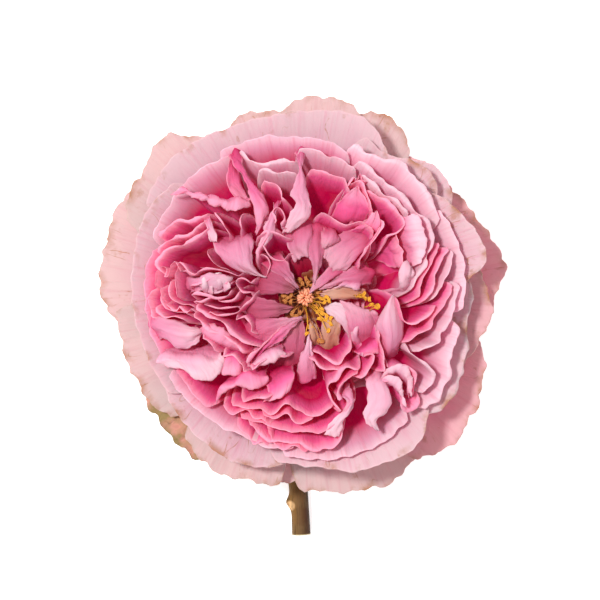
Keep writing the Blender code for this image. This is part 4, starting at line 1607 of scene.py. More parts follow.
COLLAR_FRAMED = (
    Petal("collar_bottom", ((-5, -39.2), (1, -39.5), (8, -39.4), (15, -37.4), (21, -34),
        (25.5, -30.5))),
    Petal("collar_top", ((10.5, 35.6), (4, 38.3), (-3, 39), (-10, 39), (-17, 37.3), (-21, 35.8))),
    Petal("collar_left_lower", ((-33.5, -19.5), (-29.5, -24.5), (-23, -29.8), (-15, -34), (-8, -36.8),
        (-3, -37.4))),
    Petal("collar_left_upper", ((-18, 35), (-25, 31.5), (-30, 27), (-35, 19.5), (-37.5, 14.5))),
)
# Collars on the right, whose paler tissue paints light on them.
OPEN_COLLAR_FRAMED = (
    Petal("collar_upper_right", ((33, 19), (30.5, 23), (27.8, 27), (24.5, 31), (20, 33), (14, 35),
        (11.5, 36.8)), rim=1.2),
    Petal("collar_right", ((38.8, -3), (39, 4), (38.3, 10), (36.6, 15), (35, 18), (33, 21.3))),
    Petal("collar_right_lower", ((29, -27.2), (32.7, -24), (34.7, -19), (35, -15), (36.6, -10.5),
        (37.2, -7)), rim=0.8),
)
SHADED_COLLAR_FRAMED = (
    Petal("collar_left", ((-37.5, 11.5), (-39, 5), (-38.7, -3), (-37.3, -9), (-34.7, -15.5))),
)

PALE_FRAMED = (
    Petal("tile_outer", ((26.3, 2.6), (27, 5), (29, 9), (30.5, 12.5), (29.8, 16.5), (27.3, 20.2),
        (23, 24.2), (19, 28), (15.5, 31), (13, 32.8)), rim=1.0),
    Petal("hollow_back", ((12, 31.4), (9, 33), (6, 34.3), (2, 35.8), (-1, 36.2))),
    Petal("right_sheet_outer", ((31.2, 0), (34, 4), (35.4, 8), (35.9, 11))),
    Petal("fold_outer", ((28.8, -23.2), (30.8, -21), (30.6, -18.4), (27.7, -15.4), (25.3, -13.4)),
        rim=0.9),
    Petal("top_lip", ((-2.6, 33.2), (-5, 32.8), (-9, 31.8), (-13, 32.9), (-16, 35)), rim=0.9),
)
PALE_EXTRA = (
    Petal("tile_middle", ((24.8, 20.4), (21, 23.6), (17, 26.6), (13.9, 29.4)), rim=0.7),
    Petal("right_sheet_5", ((28, -12.8), (30.5, -11.6), (33, -10.6), (32.9, -8.3), (35.3, -4.8),
        (36.9, 0.4), (37.5, 3)), rim=0.6),
    Petal("top_second", ((-2.6, 30), (-7, 30.2), (-11, 30.6)), rim=0.5),
)
INNER_FRAMED = (
    Petal("tile_inner", ((19.6, 15), (22, 15.6), (24, 18), (21.6, 20.9), (18.4, 23.6), (15.7, 26)),
        rim=0.8),
    Petal("hollow_lip", ((16.2, 16.3), (13.5, 18.3), (10, 17.4), (7, 18.5), (4.4, 20.8))),
    Petal("right_sheet_inner", ((27.9, 0.6), (28.4, 4), (30.9, 9), (33.2, 13))),
    Petal("right_fold", ((25.6, -10.6), (27.2, -9.2), (30, -7.4), (31.6, -4.8), (34, -1.5), (35.9, 3))),
    Petal("zigzag", ((-17.8, -26.6), (-12, -27), (-8, -28.4), (-4.5, -25.6), (-2, -27.5), (2, -28.8),
        (6.5, -27))),
    Petal("bottom_strip", ((-15.5, -29.4), (-9, -31.2), (-4, -32.4), (0.5, -33), (4.5, -32.6, -0.8),
        (9, -29.2, -2), (11.6, -26, -2))),
    Petal("lower_left_sheet", ((-31.3, -18.2), (-29, -21.2), (-26, -24.6), (-23.6, -27))),
    Petal("left_lip", ((-24.2, 20.2), (-27.6, 17.9), (-31, 18.3), (-34, 16.4), (-35.5, 15.2)), rim=0.9),
    Petal("wave_strip", ((-26.3, -2.6), (-22, -4.8), (-18.6, -7.3), (-14.6, -10.5), (-11.4, -12)),
        rim=0.9),
)
INNER_EXTRA = (
    Petal("left_zig", ((-37, 3), (-35.8, 6.4), (-34.4, 7.4), (-33.6, 4.8), (-31.8, 8.6), (-30.4, 6))),
    Petal("left_outer", ((-37.6, 1.4), (-38.2, -1.6), (-37, -4.6), (-35.4, -5.2))),
    Petal("left_middle", ((-35.4, 1.8), (-34.8, -1.4), (-32, -3.4), (-29, -3.8))),
    Petal("left_loop", ((-33, 3.6), (-32.8, 0.6), (-30.4, -1.6), (-27.6, -1.9))),
    Petal("zigzag_fold", ((-19.6, -26.8), (-18, -28.4), (-14.6, -27.6), (-12, -29.4), (-10.2, -29.4),
        (-9, -31))),
    Petal("bottom_gap", ((-9.8, -29), (-6.8, -29.4), (-4.4, -28.4), (-1.6, -30.6), (1.4, -30))),
    Petal("bottom_small", ((-16.4, -31.6), (-14, -33.6), (-12.6, -35.4), (-10.8, -35), (-9.4, -36.4))),
    Petal("bottom_third", ((-8.6, -33.6), (-7.2, -35.8), (-4.4, -37), (-2.6, -36.2), (0.4, -38.2))),
    Petal("top_pocket", ((-5.8, 24), (-6, 25.4), (-7.2, 27.2), (-10, 28.2)), rim=0.4),
    Petal("hollow_wall", ((10.4, 26.2), (9.6, 28.3), (7, 29.6), (4, 30.1), (1.6, 31)), rim=0.3),
    Petal("apex_petal", ((16.2, 21.3), (15, 24.8), (12.9, 27.9), (11.2, 27.4)), rim=0.4),
    Petal("tile_small", ((15.8, 12.8), (17.6, 15.5), (18.6, 17.8), (17.6, 19.4)), rim=0.5),
    Petal("right_sheet_2", ((29.4, -0.3), (31.3, 4), (32.6, 8.5), (34.6, 11.6)), rim=0.5),
    Petal("right_vee", ((22.5, -1), (23.3, -4), (25, -6.3), (28, -5.4), (30.4, -3.6), (32.2, -1.8)),
        rim=0.6),
    Petal("fold_arch", ((26, -23.8), (26.6, -20), (25, -17.3), (22.5, -16.6), (20.2, -17.7)), rim=0.9),
    Petal("fold_loop", ((28, -25.2), (26, -26.8), (24.2, -26.9), (23.3, -24.8), (23.6, -21.8),
        (21.5, -19.6), (18.8, -20)), rim=-1.2),
    Petal("thin_lip", ((19.2, -18), (18.7, -13.5), (18, -9.4)), rim=0.3),
    Petal("small_s", ((13.5, -19.4), (15.2, -17.4), (16.8, -15.5), (16, -13.9), (13.8, -14.6)),
        rim=0.5),
    Petal("pocket_lip", ((-15, -25.2), (-12, -24.7), (-9, -24)), rim=0.4),
    Petal("bottom_outer", ((-13.5, -31.2), (-10.5, -33.5), (-6.5, -35), (-2, -35.5), (2, -36.6),
        (6, -37), (8.6, -34.5), (8.9, -32.6)), rim=0.6),
    Petal("bottom_curl", ((9.2, -24.9), (8.2, -23), (9.3, -20.6), (12.6, -18.8)), rim=-1.2),
    Petal("wave_lower", ((-19.4, -14.1), (-17.2, -14), (-15.5, -16.2), (-14.9, -18)), rim=0.5),
    Petal("wave_small", ((-24.6, -9.8), (-22.8, -11.2), (-22, -13)), rim=0.4),
    Petal("wave_strip_2", ((-27, -4.6), (-24, -6.9), (-20, -8.9), (-17, -11.2), (-15, -13)), rim=0.9),
    Petal("wave_inner", ((-16.8, -5.6), (-14.6, -4.6), (-13, -6), (-13.2, -8.4)), rim=0.5),
    Petal("fold_left_a", ((-5.5, -7.7), (-9, -10.8), (-12, -13.8), (-13.8, -16.2)), rim=1.2),
    Petal("fold_left_b", ((-12.4, -17.2), (-10, -15.2), (-7, -13.6), (-4.9, -14)), rim=0.7),
    Petal("lip_2", ((-24.5, 18.5), (-26.3, 16.6), (-28.5, 14.6), (-31.5, 14.1), (-34.4, 13),
        (-36, 11.3)), rim=0.7),
    Petal("lip_3", ((-24, 16.4), (-25.6, 14.8), (-27.8, 12.9), (-31.5, 12.2), (-34.3, 10.6), (-35.6, 8),
        (-34.4, 5.6)), rim=0.7),
    Petal("thin_strip", ((-31.4, 0.4), (-31.3, 4), (-31.1, 8), (-29.9, 8.4), (-28.1, 6.2),
        (-26.4, 5.4)), rim=0.4),
    Petal("swirl_a", ((-18.5, 2.6), (-18.9, 5), (-21.4, 5.4), (-24.4, 4.2), (-28, 2.6)), rim=-1.2),
    Petal("swirl_b", ((-18.2, 0.6), (-21, -0.6), (-24.5, 0.3), (-27.4, 0.6)), rim=1.2),
    Petal("swirl_c", ((-16.5, -2.4), (-20.5, -2.9), (-24.6, -1.8)), rim=0.6),
    Petal("swirl_d", ((-16.2, 0.6), (-17.4, -1), (-20, -1.2), (-22.6, -0.2), (-25, -1.4), (-26.8, -1)),
        rim=0.6),
    Petal("swirl_e", ((-12.6, -0.6), (-14.6, -2.2), (-17, -4), (-20.6, -4.6), (-23.4, -3.6)), rim=0.6),
    Petal("swirl_f", ((-29, 6.6), (-27.2, 5.2), (-25.6, 6.4), (-22.6, 6.6), (-19.4, 6.2), (-16.2, 5)),
        rim=-0.5),
    Petal("left_ruffle_a", ((-33.8, -2), (-31.4, -3.2), (-30.2, -2.2), (-28.6, -3.6), (-27.6, -2.8)),
        rim=0.5),
    Petal("left_ruffle_b", ((-36.4, -2.6), (-34, -4.8), (-31.6, -4.6), (-29.8, -5.4)), rim=0.5),
    Petal("scroll", ((-13, 3.2), (-15.2, 4.4), (-16.8, 3.4), (-15.6, 1.6), (-12.8, 1.2)), rim=0.5),
    Petal("flap_under", ((-18.6, 6.6), (-21, 7.4), (-23.2, 9.2), (-23.6, 11.4)), rim=0.4, over=-2),
    Petal("radial_a", ((-18.3, 15.2), (-20, 17.6), (-22, 20.4)), rim=0.5),
    Petal("radial_b", ((-15.6, 16.6), (-15.9, 18.3), (-14.8, 20.2)), rim=0.5),
    Petal("curl_loop", ((-7.2, 18.6), (-8, 20.2), (-6.9, 21.6), (-5.5, 21), (-4.9, 18.8), (-5.9, 17)),
        rim=0.7),
    Petal("ribbon_tail", ((18.4, 16.8), (16.6, 14.2), (15.2, 11.6), (13.2, 9)), rim=0.9),
    Petal("s_strip", ((13, -17.6), (9.5, -17), (6.8, -19.4), (5.4, -22), (6.4, -25.4), (8.4, -27.6)),
        rim=-1),
    Petal("rosette_1", ((3.4, -13.6), (5.6, -15), (8, -15.6), (10.8, -13.4)), rim=0.6),
    Petal("rosette_2", ((2.4, -15.4), (5, -17.4), (8, -17.6)), rim=0.5),
    Petal("knot", ((10.4, 27.4), (11.6, 29), (12.6, 28.2), (13.4, 30), (14.2, 28.4), (15.4, 28.2)),
        rim=0.8, tail=1),
    Petal("scallop", ((-3.9, 10.2), (-5.5, 9), (-8, 9.2), (-9.4, 10.9), (-10.4, 12.6)), rim=0.5),
    Petal("scallop_back", ((-4.6, 14.4), (-8, 15.6), (-11.6, 14.6)), rim=0.5),
    Petal("pocket_left", ((-9.2, 6.2), (-8.6, 8), (-9.6, 9.8), (-11.6, 10.4)), rim=0.4),
    Petal("curl_tail", ((-7.8, 15.9), (-9.4, 13.9), (-11, 12), (-11.2, 9.8)), rim=1),
)

INNER_FLAPS = (
    Flap("top_strip_petal", (
        ((-15.6, 35.6, 37), (-17, 36, 37.4), (-18.8, 35, 37)),
        ((-14.8, 31.6, 41.6), (-16.2, 32, 42.4), (-17.6, 32.2, 42)),
        ((-12.8, 27.4, 42.6), (-13.8, 28, 43.6), (-15, 28.8, 43)),
        ((-10.2, 24.2, 42.8), (-11.6, 24.6, 44), (-13.6, 24.6, 43)),
        ((-8.8, 21.4, 42.6), (-10.4, 21.4, 43.8), (-12.4, 21, 42.8)),
        ((-9.8, 18.4, 42), (-10.8, 18.4, 42.8), (-11.9, 18.4, 42.2)),
        ((-11.6, 15.4, 40.6), (-11.8, 15.4, 40.8), (-12.1, 15.4, 40.6))), node="top_strip"),
    Flap("lens", (
        ((-16.4, 35, 36), (-18, 35.4, 36.6)), ((-16.2, 31, 38), (-18.6, 31.4, 41.6)),
        ((-15.6, 27.6, 38), (-18.9, 28, 41.8)), ((-14.6, 24.6, 38), (-17.6, 25.2, 41.4)),
        ((-13.4, 22.4, 38), (-14.6, 22.8, 40.6)))),
    Flap("ridge_petal", (
        ((-13.4, 23.6, 39), (-18, 23.4, 40), (-24, 25, 40), (-30, 26.6, 40)),
        ((-13.4, 23, 42), (-17.2, 22.5, 43.4), (-20.2, 22.9, 43.6), (-23.2, 24, 43.4),
         (-26.2, 25.4, 43.2), (-30, 26.6, 42.4)),
        ((-13.2, 22, 41.6), (-15.5, 21.4, 43), (-18, 21.1, 43), (-20.6, 21.7, 43), (-23.2, 22.7, 43),
         (-26.6, 23.8, 42.8), (-30.4, 25, 42.4), (-33, 24.6, 41))), crinkle=0.6, deep=0.85,
         node="ridge"),
    Flap("pocket_rim_petal", (
        ((-21.5, -24, 38), (-19, -20, 38.5), (-14.5, -17.5, 39), (-9.5, -18.4, 38.5)),
        ((-21.8, -25.6, 40.6), (-20.8, -22, 42.4), (-17.6, -21, 43), (-14.4, -18.5, 43),
         (-11.8, -19.6, 42.6), (-9, -19.4, 42)),
        ((-21.6, -25.8, 40.4), (-20, -22.8, 42.6), (-17.2, -21.7, 43.2), (-14.2, -20.4, 43.2),
         (-11.6, -21, 42.8), (-8.9, -20, 42)),
        ((-21.3, -26, 40), (-19.6, -23.2, 42), (-16.6, -22.2, 42.4), (-13.8, -22.4, 42.4),
         (-11, -21.9, 42), (-8.8, -20.5, 41.4))), deep=0.7, node="pocket_rim"),
    Flap("pocket_right", (
        ((-10, -19.5, 38), (-6, -18, 39), (-3, -17.4, 39)),
        ((-9.2, -22, 41), (-6, -20.6, 42), (-2.4, -18.8, 42)),
        ((-9.4, -24, 41.4), (-6, -23, 42.4), (-3, -20.8, 42.2)),
        ((-10.6, -25.8, 41), (-6.2, -24.5, 42), (-3.4, -22.4, 41.8)))),
    Flap("leaf_left", (
        ((-26.8, -6.6, 38), (-23.5, -10.6, 38), (-16.5, -14.4, 38)),
        ((-25.4, -7.4, 41.6), (-22.8, -10.2, 42.4), (-19.2, -12, 42.2), (-15.6, -13, 41)),
        ((-24.4, -6.8, 42.2), (-21.6, -8.6, 43.6), (-18.6, -10.4, 43.2), (-15.2, -12.8, 41.4)),
        ((-23.6, -6.2, 41.8), (-20.6, -7.4, 42.8), (-17.6, -9.4, 42.6), (-14.8, -12.6, 41))), deep=0.75),
    Flap("curl_lower", (
        ((-19.6, -13.6, 39), (-16, -13.4, 39)),
        ((-19.4, -14.2, 42.4), (-17.8, -13.9, 42.8), (-16.8, -15, 42.4)),
        ((-19.8, -16.6, 42.2), (-17.2, -16.4, 42.8), (-15.1, -17, 41.8)),
        ((-20.2, -18.8, 41.4), (-17.8, -19.2, 41.8), (-15.4, -18.9, 41)))),
    Flap("boat_upper", (
        ((-13.8, -16.8, 40), (-12.6, -14.8, 41), (-11.4, -14.4, 40)),
        ((-10.6, -13.6, 42), (-9.9, -12.6, 42.6), (-8.6, -12.2, 42)),
        ((-8.4, -10.8, 41.6), (-7.4, -9.8, 42), (-5.6, -10.4, 41)),
        ((-5.4, -8.6, 40.4), (-4.6, -7.4, 40.6), (-3.4, -8, 40)),
        ((-1.4, -5.6, 38), (-1, -5.2, 38), (-0.8, -5.6, 37.8)))),
    Flap("small_face", (
        ((11.6, -13.4, 39), (14, -12, 40), (17.6, -9.8, 40)),
        ((12.4, -13.6, 41), (15, -12.8, 42.4), (17.6, -11, 42)),
        ((14, -14.6, 41), (16, -14.2, 42), (18.2, -13.2, 41)))),
    Flap("apex_face", (
        ((14, 17.6, 36), (10, 16.6, 35), (6, 18, 34)),
        ((15.2, 19.6, 40), (11, 19, 38.6), (6.4, 20, 37)),
        ((15.8, 21, 42), (11.4, 22.4, 40.6), (7.6, 22.4, 38.6)),
        ((14.4, 24, 43), (12, 24.8, 42), (9.6, 24.6, 40.6)),
        ((13, 26.8, 43.6), (12.6, 26.9, 43.6), (12.1, 26.6, 43.4)))),
    Flap("cup_right", (
        ((17.5, 9, 34), (17, 12, 34), (18.6, 14.6, 36)),
        ((20, 7.8, 36.6), (19.8, 11, 36.6), (20.6, 14.4, 39)),
        ((22.4, 7, 40.4), (22, 10.8, 40.6), (21.8, 14.8, 42)),
        ((24, 8, 43), (23.2, 11.6, 43.2), (22.3, 15.3, 43.4)))),
    Flap("ribbon_face", (
        ((16.6, 13.8, 38), (13.6, 15.6, 38), (10.4, 15.6, 38)),
        ((18, 16.2, 42), (15, 17, 42), (11.6, 16.4, 41)),
        ((18.2, 18.4, 43), (16.4, 18.8, 43), (14.2, 18, 42)),
        ((17.4, 20.8, 43.4), (17, 20.7, 43.4), (16.4, 20.2, 43))), deep=0.75),
)
PALE_FLAPS = (
    Flap("flap_upper_petal", (
        ((-13, 15.5, 37), (-17, 15, 37.5), (-22, 14.5, 37)),
        ((-12.6, 13.6, 41), (-16, 13.6, 42), (-19, 12.4, 42), (-22.3, 12.9, 41)),
        ((-12.8, 9.8, 42), (-15.5, 10.6, 43.2), (-18.5, 9.8, 43), (-21, 10.2, 42)),
        ((-12.6, 7.6, 41.6), (-14.4, 7.6, 42.4), (-16.6, 7.2, 42), (-18.9, 7.8, 41.2)),
        ((-11, 5.8, 40), (-12, 5.6, 40.2), (-13, 5.4, 40), (-14.4, 5.8, 39.6)),
        ((-9.6, 5, 39), (-9.7, 4.9, 39), (-10, 4.8, 39), (-10.4, 4.9, 38.8))), node="flap_upper"),
    Flap("loop_sheet", (
        ((-5.8, 23.6, 40), (-7.6, 23, 41)), ((-6.8, 20.6, 42.4), (-8, 21, 43)),
        ((-7.4, 17, 42.6), (-8.6, 17.8, 43.4), (-9.6, 18, 42.8)),
        ((-7.8, 14.8, 42), (-9, 15.2, 42.8), (-10.4, 15.4, 42.2)),
        ((-9.6, 12.4, 41), (-10.4, 12.6, 41.6), (-11.3, 13, 41)),
        ((-10.8, 10.6, 39.6), (-11.1, 10.5, 39.8), (-11.6, 10.4, 39.6)))),
    Flap("white_fold_petal", (
        ((0.4, 36, 37), (-1.2, 36.4, 37.6), (-2.6, 35.6, 37)),
        ((-0.6, 32, 42), (-1.1, 32, 42.4), (-1.7, 32, 42)),
        ((0.1, 28.4, 43), (-1, 28.4, 43.6), (-2.3, 28.4, 43)),
        ((0.7, 25, 43.2), (-1.4, 25, 44), (-3.6, 25.2, 43.2)),
        ((1.1, 22.4, 43), (-0.6, 22.4, 43.8), (-2.3, 22.3, 43)),
        ((1.3, 19.6, 42.4), (-0.8, 19.8, 43), (-3.8, 20.4, 42.4)),
        ((-0.8, 17.8, 41.6), (-2.8, 18, 42), (-4.8, 17.6, 41.6)),
        ((-3.4, 15.6, 40.6), (-4.4, 15.8, 40.8), (-5.6, 15.4, 40.6))), node="white_fold"),
    Flap("fin_white", (
        ((-23.2, 19.6, 40), (-24.6, 19.8, 40)), ((-22.6, 17.4, 42), (-24.2, 17.6, 42)),
        ((-21.4, 15.4, 42), (-23.6, 15.2, 42.2)), ((-21.6, 13.4, 41.6), (-23, 13.4, 41.6)))),
    Flap("swirl_sheet", (
        ((-28.5, 5, 39), (-29, 3, 39.4), (-28, 1, 39)),
        ((-26, 4.8, 42), (-26.6, 3, 42.4), (-25.6, 1.4, 42)),
        ((-23.2, 5.4, 43), (-23.4, 3.4, 43.8), (-22.8, 0.8, 43)),
        ((-20.4, 5.4, 43), (-20.6, 3.6, 43.6), (-20.4, 1, 43)),
        ((-18.2, 4.6, 42), (-18, 3.4, 42.4), (-18.6, 1.6, 42))), crinkle=0.7),
    Flap("flap_left_petal", (
        ((-37.6, -4.6, 37), (-38, -7, 37.5), (-36, -10.5, 37)),
        ((-35, -5, 40.5), (-35.4, -7.2, 41.6), (-33.6, -10.2, 41)),
        ((-31.5, -5.6, 41.4), (-32.4, -8.6, 43), (-31.4, -12.3, 42)),
        ((-28.6, -6.8, 42), (-29.4, -9.4, 43.6), (-28.4, -12.5, 42.6)),
        ((-26.4, -7.4, 42), (-26.8, -9, 43), (-26.4, -11.4, 42.2)),
        ((-24.8, -7.9, 41), (-24.9, -8.2, 41.2), (-25.1, -8.9, 41))), node="flap_left"),
    Flap("flap_lower_petal", (
        ((-34, -12.5, 38), (-28, -12.5, 38), (-20, -12.5, 38)),
        ((-36.2, -15.6, 40), (-33, -14.9, 42), (-29, -15.2, 43), (-25, -15.6, 43.4),
         (-21.6, -15.6, 43), (-20.4, -13.9, 42.4)),
        ((-34.6, -16.4, 40), (-31.6, -16.2, 42), (-28, -17.4, 43), (-24.6, -18, 43.2),
         (-21.2, -17.2, 43), (-19.6, -14.6, 42.6)),
        ((-33.4, -17.2, 39.6), (-30.6, -17.6, 41.6), (-27.4, -19.6, 42.2), (-23.6, -20.4, 42.2),
         (-20.6, -18.2, 42.2), (-19.2, -15.4, 42))), deep=0.75, node="flap_lower"),
    Flap("boat_lower", (
        ((-13.6, -15.6, 39), (-9.5, -12.4, 39), (-5.5, -11.6, 39)),
        ((-14.2, -16.8, 41.6), (-10, -14.2, 42.6), (-6.4, -13, 42.4), (-5, -13.2, 41.8)),
        ((-13.8, -17.3, 41.6), (-9.8, -15.4, 43), (-6.2, -14, 42.8), (-4.6, -13.7, 42)),
        ((-13.2, -17.8, 41), (-9.6, -16.5, 42.2), (-6.4, -15.1, 42.2), (-4.7, -14.2, 41.6)))),
    Flap("white_flap_petal", (
        ((14.8, -18.6, 39), (17, -18, 39.6), (19, -18.6, 39)),
        ((14.6, -20.9, 42.6), (17, -20.4, 43.6), (19.2, -20.6, 42.8)),
        ((15.3, -23, 43.2), (18, -23, 44.4), (20.5, -23.2, 43.2)),
        ((15, -25.6, 43.2), (17.8, -25.8, 44.2), (20.7, -25.8, 42.8)),
        ((14.1, -28, 43), (16.6, -28, 43.8), (19.6, -28.3, 42)),
        ((14.6, -30, 42.6), (15.8, -29.6, 43.2), (17.3, -29.8, 42.4)),
        ((15.8, -31.6, 42), (16.6, -31.4, 42.2), (17.6, -31.6, 41.6)),
        ((17.4, -32.6, 41.2), (17.6, -32.6, 41.2), (18, -32.5, 41))), deep=0.8, node="white_flap"),
    Flap("arch_outer", (
        ((19.5, -20, 39), (22, -18.6, 39.5), (24, -21, 39), (25.4, -24.6, 39)),
        ((18.6, -19.8, 41.6), (20.4, -18.2, 42.8), (22.6, -17.9, 43.2), (24.4, -19.8, 43),
         (25.3, -23.4, 42)),
        ((18.2, -19.7, 42), (19.6, -17.7, 43), (22.2, -16.3, 43.4), (24.8, -17, 43.2),
         (26.1, -20.2, 42.8), (25.9, -24.4, 41.6)))),
    Flap("arch_inner", (
        ((19.6, -21.6, 39), (21.4, -21.4, 39.5), (23.6, -25.8, 39)),
        ((19, -20.3, 42), (21, -20.6, 43), (22.6, -22.8, 43), (23.8, -26.2, 42)),
        ((18.8, -19.6, 42.4), (20.6, -18.9, 43.4), (22.6, -19.3, 43.6), (23.5, -21.2, 43.4),
         (23.8, -23.8, 43), (24.8, -26.8, 42)))),
    Flap("zig_strip", (
        ((8.6, -21.6, 39), (10.6, -21, 39)),
        ((8.2, -24, 42.4), (9.8, -23.6, 42.8), (11.4, -23.4, 42.4)),
        ((10, -25.4, 42.6), (11, -25.4, 43), (12, -25.2, 42.4)),
        ((9, -27.6, 42.6), (10, -27.6, 43.2), (11, -27.6, 42.4)),
        ((7, -29.6, 42.4), (8.4, -29.8, 43), (9.6, -30, 42)),
        ((5.2, -32, 42), (7, -32, 42.4), (8.8, -32.2, 41.6)),
        ((4.7, -33.6, 41), (6.4, -34, 41.4), (8.4, -34, 40.8))), deep=0.75),
    Flap("lilac_back_petal", (
        ((18.6, -14.4, 37), (20.8, -15, 37.4), (22.8, -13.8, 37)),
        ((18.4, -12.6, 40), (20.6, -12.8, 41.6), (22.8, -12, 40)),
        ((17.9, -9.6, 41), (20.8, -9.4, 43.6), (23.9, -9.4, 41)),
        ((17, -7, 41.6), (20.4, -6, 44.4), (23.8, -6.4, 41.4)),
        ((18.2, -4.6, 42), (20.6, -3.6, 44), (22.8, -3.4, 41.6)),
        ((19.8, -1.6, 42), (20.8, -1.2, 43), (22, -1.2, 41.8)),
        ((21.2, 0.4, 41.6), (21.4, 0.4, 41.8), (21.6, 0.4, 41.6))), crinkle=0.1, node="lilac_back"),
    Flap("right_face", (
        ((24, 6, 37), (22, 12, 37), (22.5, 19, 38)),
        ((26.2, 7.4, 41), (24.6, 13, 41.6), (24.4, 19.6, 42.4)),
        ((27.4, 8, 42.6), (27, 13, 43.6), (26, 19.9, 43.8)),
        ((28.2, 8.4, 43), (29.4, 13, 44.4), (27.6, 20, 44)))),
    Flap("knob", (
        ((22.8, 2.4, 39), (24.8, 2, 39.6), (26.8, 3.4, 39)),
        ((22.8, 4.6, 43), (24.6, 4.4, 44.2), (26.6, 5.2, 43.4)),
        ((23.4, 7, 43.4), (24.8, 6.8, 44.6), (26.5, 7.2, 43.6)),
        ((24.2, 8.4, 42.8), (25.2, 8.2, 43.2), (26.2, 8.2, 42.8))), deep=0.85, crinkle=0.6),
)
EYE_FLAPS = (
    Flap("eye_upper_left", (
        ((-5.5, 11.5, 35), (-10, 9, 36), (-12, 5, 36), (-12.5, 0.5, 35)),
        ((-4.2, 8.4, 37.6), (-7.5, 6.6, 38.4), (-9.3, 3.6, 38.2), (-9, 0.6, 37)),
        ((-3, 4.6, 37), (-4.9, 3.9, 37.2), (-5.6, 2.4, 37), (-5.4, 0.8, 36.2)),
        ((-1.9, 2.4, 35.4), (-2.4, 1.9, 35.2), (-2.9, 1.2, 35)))),
    Flap("eye_left", (
        ((-16, 1, 36), (-17, -2.5, 37), (-15, -6.5, 36)),
        ((-12.4, 0, 38), (-12.6, -2.8, 38.8), (-11.6, -5.6, 38)),
        ((-7.8, -0.9, 37.6), (-7.9, -2.6, 38), (-7.4, -5, 37.4)),
        ((-4.4, -2, 36), (-4.5, -2.8, 36.1), (-4.4, -3.8, 35.8)),
        ((-3.2, -2.3, 35.4), (-3.2, -2.7, 35.4), (-3.3, -3.1, 35.3)))),
    Flap("eye_bottom_left", (
        ((-9, -16, 35), (-4, -17, 36.5), (0.4, -16, 36)),
        ((-6.2, -11, 37.6), (-3, -12, 38.6), (0.1, -12, 37.8)),
        ((-4.6, -8, 37.4), (-2.2, -8.6, 38), (-0.1, -8.4, 37.4)),
        ((-2.9, -6.2, 36.4), (-1.4, -5.8, 36.6), (-0.3, -5.9, 36.4)))),
)
